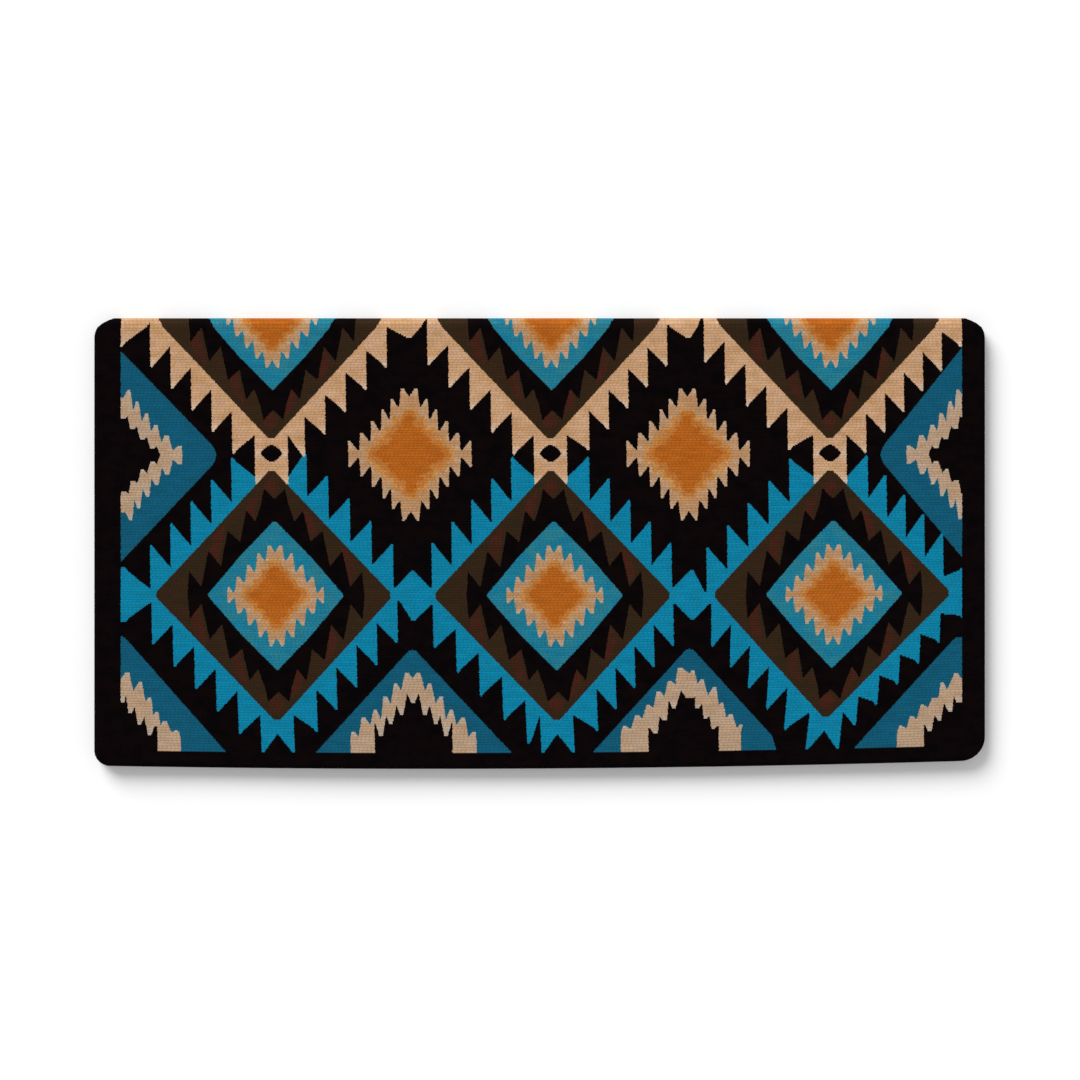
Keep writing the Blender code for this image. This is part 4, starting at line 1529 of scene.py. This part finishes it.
@dataclass
class Flap(ClothPiece):
    """One flap of the folded cloth, as a closed mesh of both its faces and its rim."""

    name: str
    body: str
    upper: bool
    rim_steps: int = 8
    hem_shares: tuple[float, ...] = (0.5, 0.24, 0.08, 0.0)
    probe: float = 0.0004

    @property
    def way(self) -> int:
        """1 on the upper flap and -1 on the lower one."""
        return 1 if self.upper else -1

    def lines(self) -> list[float]:
        """Where the lines between the rows are, from the fold to the rounding of the hem.

        Returns:
            The lines' distance from the fold.
        """
        pick, end = self.cloth.pick, self.cloth.hem_v - self.cloth.ply / 2
        first = self.cloth.round_rows + (1 if self.upper else 0)
        made = [k * pick for k in range(first, int(end / pick))]
        rest = end - made[-1]
        return made + [end - rest * share for share in self.hem_shares]

    def mid_z(self) -> float:
        """How high the middle of the cloth lies."""
        return self.cloth.ply / 2 + (self.cloth.ply + self.cloth.gap if self.upper else 0.0)

    def surface(
        self, u: np.ndarray, v: np.ndarray, out: tuple[np.ndarray, np.ndarray], up: np.ndarray
    ) -> np.ndarray:
        """Where points of the flap are.

        Args:
            u: Place across.
            v: Distance from the fold.
            out: How far out of the plan they stand, as (across, along).
            up: Their height over the cloth's middle.

        Returns:
            The places in the frame.
        """
        y = self.cloth.plan_y(v + self.lay.hem(u, v)) - out[1]
        z = self.mid_z() + up + self.lay.waves(u, v * self.way)
        return np.stack([u + out[0], y, z], axis=1)

    def line_points(self, v: float, rows: tuple[int, int]) -> np.ndarray:
        """The points across the line at v, between its two rows."""
        return self.loom.across(-self.cloth.half_width(v, -1), self.cloth.half_width(v, 1), rows)

    def row_number(self, line: int) -> int:
        """The number in the loom of the row after a line."""
        return line if self.upper else -line - 1

    def build(self, materials: dict[Yarn, bpy.types.Material]) -> bpy.types.Object:
        """Weaves the flap.

        Args:
            materials: The material of each yarn.

        Returns:
            The flap's object.
        """
        weave = Weave(self.name)
        lines = self.lines()
        pick = self.cloth.pick
        rows = [self.row_number(min(int(v / pick + SLACK), int(lines[-1] / pick))) for v in lines]
        across = [self.line_points(v, r) for v, r in zip(lines, zip([rows[0]] + rows, rows))]
        ids = {}
        for face in (1, -1):
            ids[face] = [self.line(weave, us, v, face) for us, v in zip(across, lines)]
            for i in range(len(lines) - 1):
                weave.row(across[i : i + 2], ids[face][i : i + 2], self.loom.row(rows[i]), face)
        columns = self._rim(weave, lines, across, ids)
        self._cap(weave, columns, ids)
        made = weave.finish(materials)
        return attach(made, self.body)

    def line(self, weave: Weave, us: np.ndarray, v: float, face: int) -> np.ndarray:
        """Adds the points of one line on one face.

        Args:
            weave: The mesh under construction.
            us: Places across.
            v: The line's distance from the fold.
            face: 1 for the face that is up and -1 for the other.

        Returns:
            The points' numbers.
        """
        vs, none = np.full(len(us), v), np.zeros(len(us))
        up = face * (self.cloth.ply / 2 + self.lay.ridge(vs))
        step = self.probe
        points, right, left, far, near = (
            self.surface(us + du, vs + dv, (none, none), up)
            for du, dv in ((0, 0), (step, 0), (-step, 0), (0, step), (0, -step))
        )
        normals = np.cross(far - near, right - left) * face
        normals /= np.linalg.norm(normals, axis=1)[:, None]
        places = np.stack([us, vs * self.way, none + face], axis=1)
        return weave.add(points, normals, places)

    def _rim(
        self, weave: Weave, lines: Sequence[float], across: Sequence[np.ndarray],
        ids: dict[int, list[np.ndarray]],
    ) -> list[np.ndarray]:
        """Rounds the cloth's edge over, down one side, along the hem and up the other.

        Args:
            weave: The mesh under construction.
            lines: The lines' distances from the fold.
            across: The lines' places across.
            ids: The lines' points on each face.

        Returns:
            The rim's columns of points, from the upper face to the lower one.
        """
        last = len(lines) - 1
        stations = [(i, 0) for i in range(last)]
        stations += [(last, j) for j in range(len(across[last]))]
        stations += [(i, -1) for i in reversed(range(last))]
        us = np.array([across[i][j] for i, j in stations])
        vs = np.array([lines[i] for i, _ in stations])
        outs = np.array([self.outward(u, v) for u, v in zip(us, vs)])
        radius, full = self.cloth.ply / 2, np.ones(len(us))
        columns = [np.array([ids[1][i][j] for i, j in stations])]
        for k in range(1, self.rim_steps):
            a = math.pi / 2 - math.pi * k / self.rim_steps
            wide, high = math.cos(a), math.sin(a)
            bulge = radius + self.lay.ridge(vs) * np.abs(outs[:, 0])
            out = (outs[:, 0] * bulge * wide, outs[:, 1] * bulge * wide)
            points = self.surface(us, vs, out, radius * high * full)
            normals = np.stack([outs[:, 0] * wide, -outs[:, 1] * wide, high * full], axis=1)
            places = np.stack([us + out[0], (vs + out[1]) * self.way, high * full], axis=1)
            columns.append(weave.add(points, normals, places))
        columns.append(np.array([ids[-1][i][j] for i, j in stations]))
        for one, two in zip(columns, columns[1:]):
            weave.fill(one[:-1], two[:-1], two[1:], one[1:])
        return columns

    def outward(self, u: float, v: float) -> Point:
        """The outward direction of the edge at a point of it.

        Args:
            u: Place across.
            v: Distance from the fold.

        Returns:
            The direction, as (across, along).
        """
        radius = self.cloth.hem_corner(u)
        past = v - (self.cloth.hem_v - radius)
        if past <= 0:
            return (math.copysign(1.0, u), 0.0)
        inner = radius - self.cloth.ply / 2
        side = max(abs(u) - (self.cloth.width / 2 - radius), 0.0)
        size = math.hypot(side, past)
        if side == 0.0 or size < inner / 2:
            return (0.0, 1.0)
        return (math.copysign(side / size, u), past / size)

    def _cap(
        self, weave: Weave, columns: Sequence[np.ndarray], ids: dict[int, list[np.ndarray]]
    ) -> None:
        """Closes the flap where it meets the fold.

        Args:
            weave: The mesh under construction.
            columns: The rim's columns of points.
            ids: The lines' points on each face.
        """
        top, low = ids[1][0], ids[-1][0]
        weave.fill(top[:-1], top[1:], low[1:], low[:-1])
        weave.face([c[0] for c in reversed(columns)])
        weave.face([c[-1] for c in columns])


@dataclass
class FoldLip(Flap):
    """The last row of the fold, which lies flat beside the upper flap."""

    def build(self, materials: dict[Yarn, bpy.types.Material]) -> bpy.types.Object:
        """Weaves the row, from the last rib's middle to the upper flap.

        Args:
            materials: The material of each yarn.

        Returns:
            The row's object.
        """
        weave, number = Weave(self.name), self.cloth.round_rows
        lines = [number * self.cloth.pick, (number + 1) * self.cloth.pick]
        across = [self.line_points(v, (number, number)) for v in lines]
        for face in (1, -1):
            ids = [self.line(weave, us, v, face) for us, v in zip(across, lines)]
            weave.row(across, ids, self.loom.row(number), face)
        for side in (-1, 1):
            weave.side([self._side_column(weave, v, side) for v in lines], side)
        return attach(weave.finish(materials), self.body)

    def _side_column(self, weave: Weave, v: float, side: int) -> np.ndarray:
        """Adds the points that round one side edge over at one line.

        Args:
            weave: The mesh under construction.
            v: The line's distance from the fold.
            side: -1 for the left edge and 1 for the right one.

        Returns:
            The points' numbers, from the upper face to the lower one.
        """
        steps = self.rim_steps
        use = np.array([math.pi / 2 - math.pi * j / steps for j in range(steps + 1)])
        us, vs = np.full(len(use), self.cloth.half_width(v) * side), np.full(len(use), v)
        bulge = self.cloth.ply / 2 + float(self.lay.ridge(np.array(v)))
        out = side * bulge * np.cos(use)
        points = self.surface(us, vs, (out, 0 * us), bulge * np.sin(use))
        normals = np.stack([side * np.cos(use), 0 * use, np.sin(use)], axis=1)
        return weave.add(points, normals, np.stack([us + out, vs, np.sin(use)], axis=1))


class Skin(Enum):
    """The three layers of cloth that a strip of the fold is made in."""

    OUTER = "outer"
    EDGE = "edge"
    INNER = "inner"


@dataclass
class FoldStrip(ClothPiece):
    """One strip of the fold, from the middle of one rib to the next.

    Its side edge is split between the layers at two radii from the middle of the fold's round.
    """

    number: int
    bodies: tuple[str, str]
    steps: int = 3
    rim_steps: int = 12
    splits: tuple[float, float] = (0.0075, 0.0022)
    hold: tuple[float, float, float] = (0.0090, 0.0040, 0.0005)

    def lines(self) -> list[float]:
        """Where the strip's lines are.

        Returns:
            Their places along the cloth, below zero on the lower half.
        """
        start = (2 * self.number - self.cloth.round_rows) * self.cloth.pick
        return [start + self.cloth.pick * k / self.steps for k in range(2 * self.steps + 1)]

    def angle(self, v: float) -> float:
        """How far round the fold a place along the cloth is."""
        return math.pi / 2 * v / (self.cloth.round_rows * self.cloth.pick)

    def place(self, x: np.ndarray, v: float, radius: np.ndarray) -> np.ndarray:
        """Where points of the strip are.

        Args:
            x: Place across.
            v: Place along.
            radius: Distance from the middle of the fold's round.

        Returns:
            The places in the frame.
        """
        a = self.angle(v)
        y = self.cloth.fold_y + radius * math.cos(a)
        z = self.cloth.fold_z + radius * math.sin(a)
        return np.stack([x, y, z], axis=1)

    def rows(self) -> list[int]:
        """The rows of weft that the strip's steps lie in."""
        start = 2 * self.number - self.cloth.round_rows
        return [start + k // self.steps for k in range(2 * self.steps)]

    def build(self, materials: dict[Yarn, bpy.types.Material]) -> list[bpy.types.Object]:
        """Weaves the strip's three layers.

        Args:
            materials: The material of each yarn.

        Returns:
            The outer, edge and inner objects.
        """
        lines, rows = self.lines(), self.rows()
        halves = [self.cloth.half_width(v) for v in lines]
        pairs = zip([rows[0]] + rows, rows + [rows[-1]])
        across = [self.loom.across(-half, half, pair) for half, pair in zip(halves, pairs)]
        made = []
        for skin, hold in zip(Skin, self.hold):
            weave = Weave(f"fold_{skin.value}_{self.number + 1}")
            self._skin(weave, skin, lines, rows, across)
            piece = weave.finish(materials)
            ends = [self.place(np.zeros(1), v, np.full(1, hold))[0] for v in (lines[0], lines[-1])]
            made.append(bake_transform(piece))
        return made

    def _skin(
        self, weave: Weave, skin: Skin, lines: Sequence[float], rows: Sequence[int],
        across: Sequence[np.ndarray],
    ) -> None:
        """Weaves one layer of the strip.

        Args:
            weave: The mesh under construction.
            skin: Which layer.
            lines: The lines' places along.
            rows: The row that each step lies in.
            across: The lines' places across.
        """
        if skin is not Skin.EDGE:
            face = 1 if skin is Skin.OUTER else -1
            ids = [self._line(weave, us, v, face) for us, v in zip(across, lines)]
            for i in range(len(lines) - 1):
                weave.row(across[i : i + 2], ids[i : i + 2], self.loom.row(rows[i]), face)
        for side in (-1, 1):
            self._edge(weave, skin, side, lines)

    def _line(self, weave: Weave, us: np.ndarray, v: float, face: int) -> np.ndarray:
        """Adds one line's points on one face of the strip.

        Args:
            weave: The mesh under construction.
            us: Places across.
            v: The line's place along.
            face: 1 for the outer face and -1 for the inner one.

        Returns:
            The points' numbers.
        """
        a = self.angle(v)
        thick = self.cloth.ply / 2 + self.lay.ridge(np.full(len(us), v))
        radius = self.cloth.mid_radius + face * thick
        points = self.place(us, v, radius)
        normal = np.array([0.0, math.cos(a), math.sin(a)]) * face
        normals = np.repeat(normal[None], len(us), axis=0)
        side = face if v > 0 else -face
        places = np.stack([us, np.full(len(us), v), np.full(len(us), float(side))], axis=1)
        return weave.add(points, normals, places)

    def _edge(self, weave: Weave, skin: Skin, side: int, lines: Sequence[float]) -> None:
        """Rounds the strip's side edge over, within the radii of its layer.

        Args:
            weave: The mesh under construction.
            skin: Which layer.
            side: -1 for the left edge and 1 for the right one.
            lines: The lines' places along.
        """
        half, steps = self.cloth.ply / 2, self.rim_steps
        angles = [math.pi / 2 - math.pi * j / steps for j in range(steps + 1)]
        radii = [self.cloth.mid_radius + half * math.sin(a) for a in angles]
        high, low = {
            Skin.OUTER: (math.inf, self.splits[0]),
            Skin.EDGE: self.splits,
            Skin.INNER: (self.splits[1], 0.0),
        }[skin]
        keep = [j for j in range(steps) if low <= (radii[j] + radii[j + 1]) / 2 < high]
        use = [angles[j] for j in [*keep, keep[-1] + 1]]
        columns = []
        for v in lines:
            edge, b = self.cloth.half_width(v), self.angle(v)
            ridge = float(self.lay.ridge(np.array(v)))
            out = np.array([edge + (half + ridge) * math.cos(a) for a in use])
            radius = np.array([self.cloth.mid_radius + (half + ridge) * math.sin(a) for a in use])
            points = self.place(out * side, v, radius)
            normals = np.array([
                (side * math.cos(a), math.sin(a) * math.cos(b), math.sin(a) * math.sin(b))
                for a in use
            ])
            places = np.stack([out * side, np.full(len(use), v), np.sin(use)], axis=1)
            columns.append(weave.add(points, normals, places))
        weave.side(columns, side)


# ---------------------------------------------------------------- the whole blanket


@dataclass
class Blanket(ClothPiece):
    """The folded blanket: two flaps of cloth, the strips of the fold and its lip."""

    nodes: Sequence[str]

    def build(self, materials: dict[Yarn, bpy.types.Material]) -> None:
        """Weaves every piece, hangs the flaps and the lip on their bodies and hides the frame's
        parts.

        Args:
            materials: The material of each yarn.
        """
        shared = (self.cloth, self.loom, self.lay)
        low = Flap(*shared, "lower_cloth", "lower_flap", False).build(materials)
        up = Flap(*shared, "upper_cloth", "upper_flap", True).build(materials)
        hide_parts(*[n for n in self.nodes if n.startswith("lower_")], "rib_1")
        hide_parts(*[n for n in self.nodes if n.startswith("upper_")])
        strips = []
        chain = ["lower_flap", *[f"rib_{k}" for k in range(2, self.cloth.ribs + 1)]]
        for i, bodies in enumerate(zip(chain, chain[1:])):
            made = FoldStrip(*shared, i, bodies).build(materials)
            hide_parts(bodies[1])
            strips += made
            LOG.info("fold strip %d bends between %s and %s", i + 1, *bodies)
        lip = FoldLip(*shared, "fold_lip", chain[-1], True).build(materials)
        for piece in (low, up, lip, *strips):
            LOG.info("%s: %d faces", piece.name, len(piece.data.polygons))


# ---------------------------------------------------------------- the studio


@dataclass(frozen=True)
class Photo:
    """How the photograph frames the blanket, in its own pixels."""

    side: int = 1080
    left: float = LEFT_EDGE
    right: float = RIGHT_EDGE
    fold: float = 317.9
    lens: float = 150.0
    sensor: float = 36.0

    def camera(self, cloth: Cloth, top: float) -> bpy.types.Object:
        """Sets the camera straight above the blanket.

        Args:
            cloth: The cloth's sizes.
            top: The height of the cloth's upper face.

        Returns:
            The camera.
        """
        scale = cloth.width / (self.right - self.left)
        data = bpy.data.cameras.new("camera")
        data.lens, data.sensor_width = self.lens, self.sensor
        made = placed("camera", data)
        high = scale * self.side * self.lens / self.sensor
        x = (self.side / 2 - (self.left + self.right) / 2) * scale
        y = cloth.depth / 2 - (self.side / 2 - self.fold) * scale
        made.location = (x, y, top + high)
        bpy.context.scene.camera = made
        return made


@dataclass(frozen=True)
class Studio:
    """The floor, the soft lamps and the plain light all round."""

    floor_size: float = 12.0
    floor_tone: float = 0.90
    lift: float = 0.13
    ambient: float = 0.42
    key_strength: float = 3.1
    key_angle: float = math.radians(38.0)
    key_from: tuple[float, float, float] = (-1.5, 2.3, 2.0)

    def build(self) -> None:
        """Makes the floor, the world and the lamp."""
        self._floor()
        self._world()
        self._lamp()
        bpy.context.scene.view_settings.view_transform = "Standard"

    def _seen(self, bench: NodeBench) -> bpy.types.NodeSocket:
        """1 for what is seen directly, in a gloss or through glass.

        Args:
            bench: The material's bench.

        Returns:
            The number's socket.
        """
        path = bench.node("ShaderNodeLightPath")
        seen = bench.math("MAXIMUM", path.outputs["Is Camera Ray"], path.outputs["Is Glossy Ray"])
        return bench.math("MAXIMUM", seen, path.outputs["Is Transmission Ray"])

    def _floor(self) -> None:
        """Makes the pale floor, which keeps the blanket's shadow."""
        half = self.floor_size / 2
        mesh = bpy.data.meshes.new("floor")
        corners = [(-half, -half, 0.0), (half, -half, 0.0), (half, half, 0.0), (-half, half, 0.0)]
        mesh.from_pydata(corners, [], [(0, 1, 2, 3)])
        made = placed("floor", mesh)
        material = bpy.data.materials.new("floor_paper")
        bench = NodeBench(material)
        diffuse = bench.node("ShaderNodeBsdfDiffuse")
        diffuse.inputs["Color"].default_value = (self.floor_tone,) * 3 + (1.0,)
        glow = bench.node("ShaderNodeEmission")
        bench.feed(glow.inputs["Strength"], bench.math("MULTIPLY", self._seen(bench), self.lift))
        both = bench.node("ShaderNodeAddShader")
        bench.feed(both.inputs[0], diffuse.outputs[0])
        bench.feed(both.inputs[1], glow.outputs[0])
        out = bench.node("ShaderNodeOutputMaterial")
        bench.feed(out.inputs["Surface"], both.outputs[0])
        mesh.materials.append(material)
        made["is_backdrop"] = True

    def _world(self) -> None:
        """Makes the plain light all round, which is seen as white."""
        world = bpy.data.worlds.new("studio")
        bpy.context.scene.world = world
        bench = NodeBench(world)
        back = bench.node("ShaderNodeBackground")
        back.inputs["Color"].default_value = (1.0, 1.0, 1.0, 1.0)
        strength = bench.span(self._seen(bench), 0.0, 1.0, self.ambient, 1.0)
        bench.feed(back.inputs["Strength"], strength)
        out = bench.node("ShaderNodeOutputWorld")
        bench.feed(out.inputs["Surface"], back.outputs[0])

    def _lamp(self) -> None:
        """Hangs a wide soft lamp far off, up and to the left beyond the fold."""
        data = bpy.data.lights.new("key", "SUN")
        data.energy, data.angle = self.key_strength, self.key_angle
        made = placed("key", data)
        made.location = self.key_from
        made.rotation_mode = "QUATERNION"
        made.rotation_quaternion = (-made.location).to_track_quat("-Z", "Y")


def main() -> None:
    """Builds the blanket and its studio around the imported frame."""
    logging.basicConfig(level=logging.INFO, format="%(message)s")
    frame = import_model()
    cad_low, cad_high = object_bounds()
    cloth = Cloth.from_frame()
    Photo().camera(cloth, cad_high.z)
    Studio().build()
    materials = {finish.yarn: finish.build() for finish in FINISHES}
    loom = Loom(Draft(cloth))
    Blanket(cloth, loom, Lay(cloth), sorted(frame["nodes"])).build(materials)


if __name__ == "__main__":
    main()
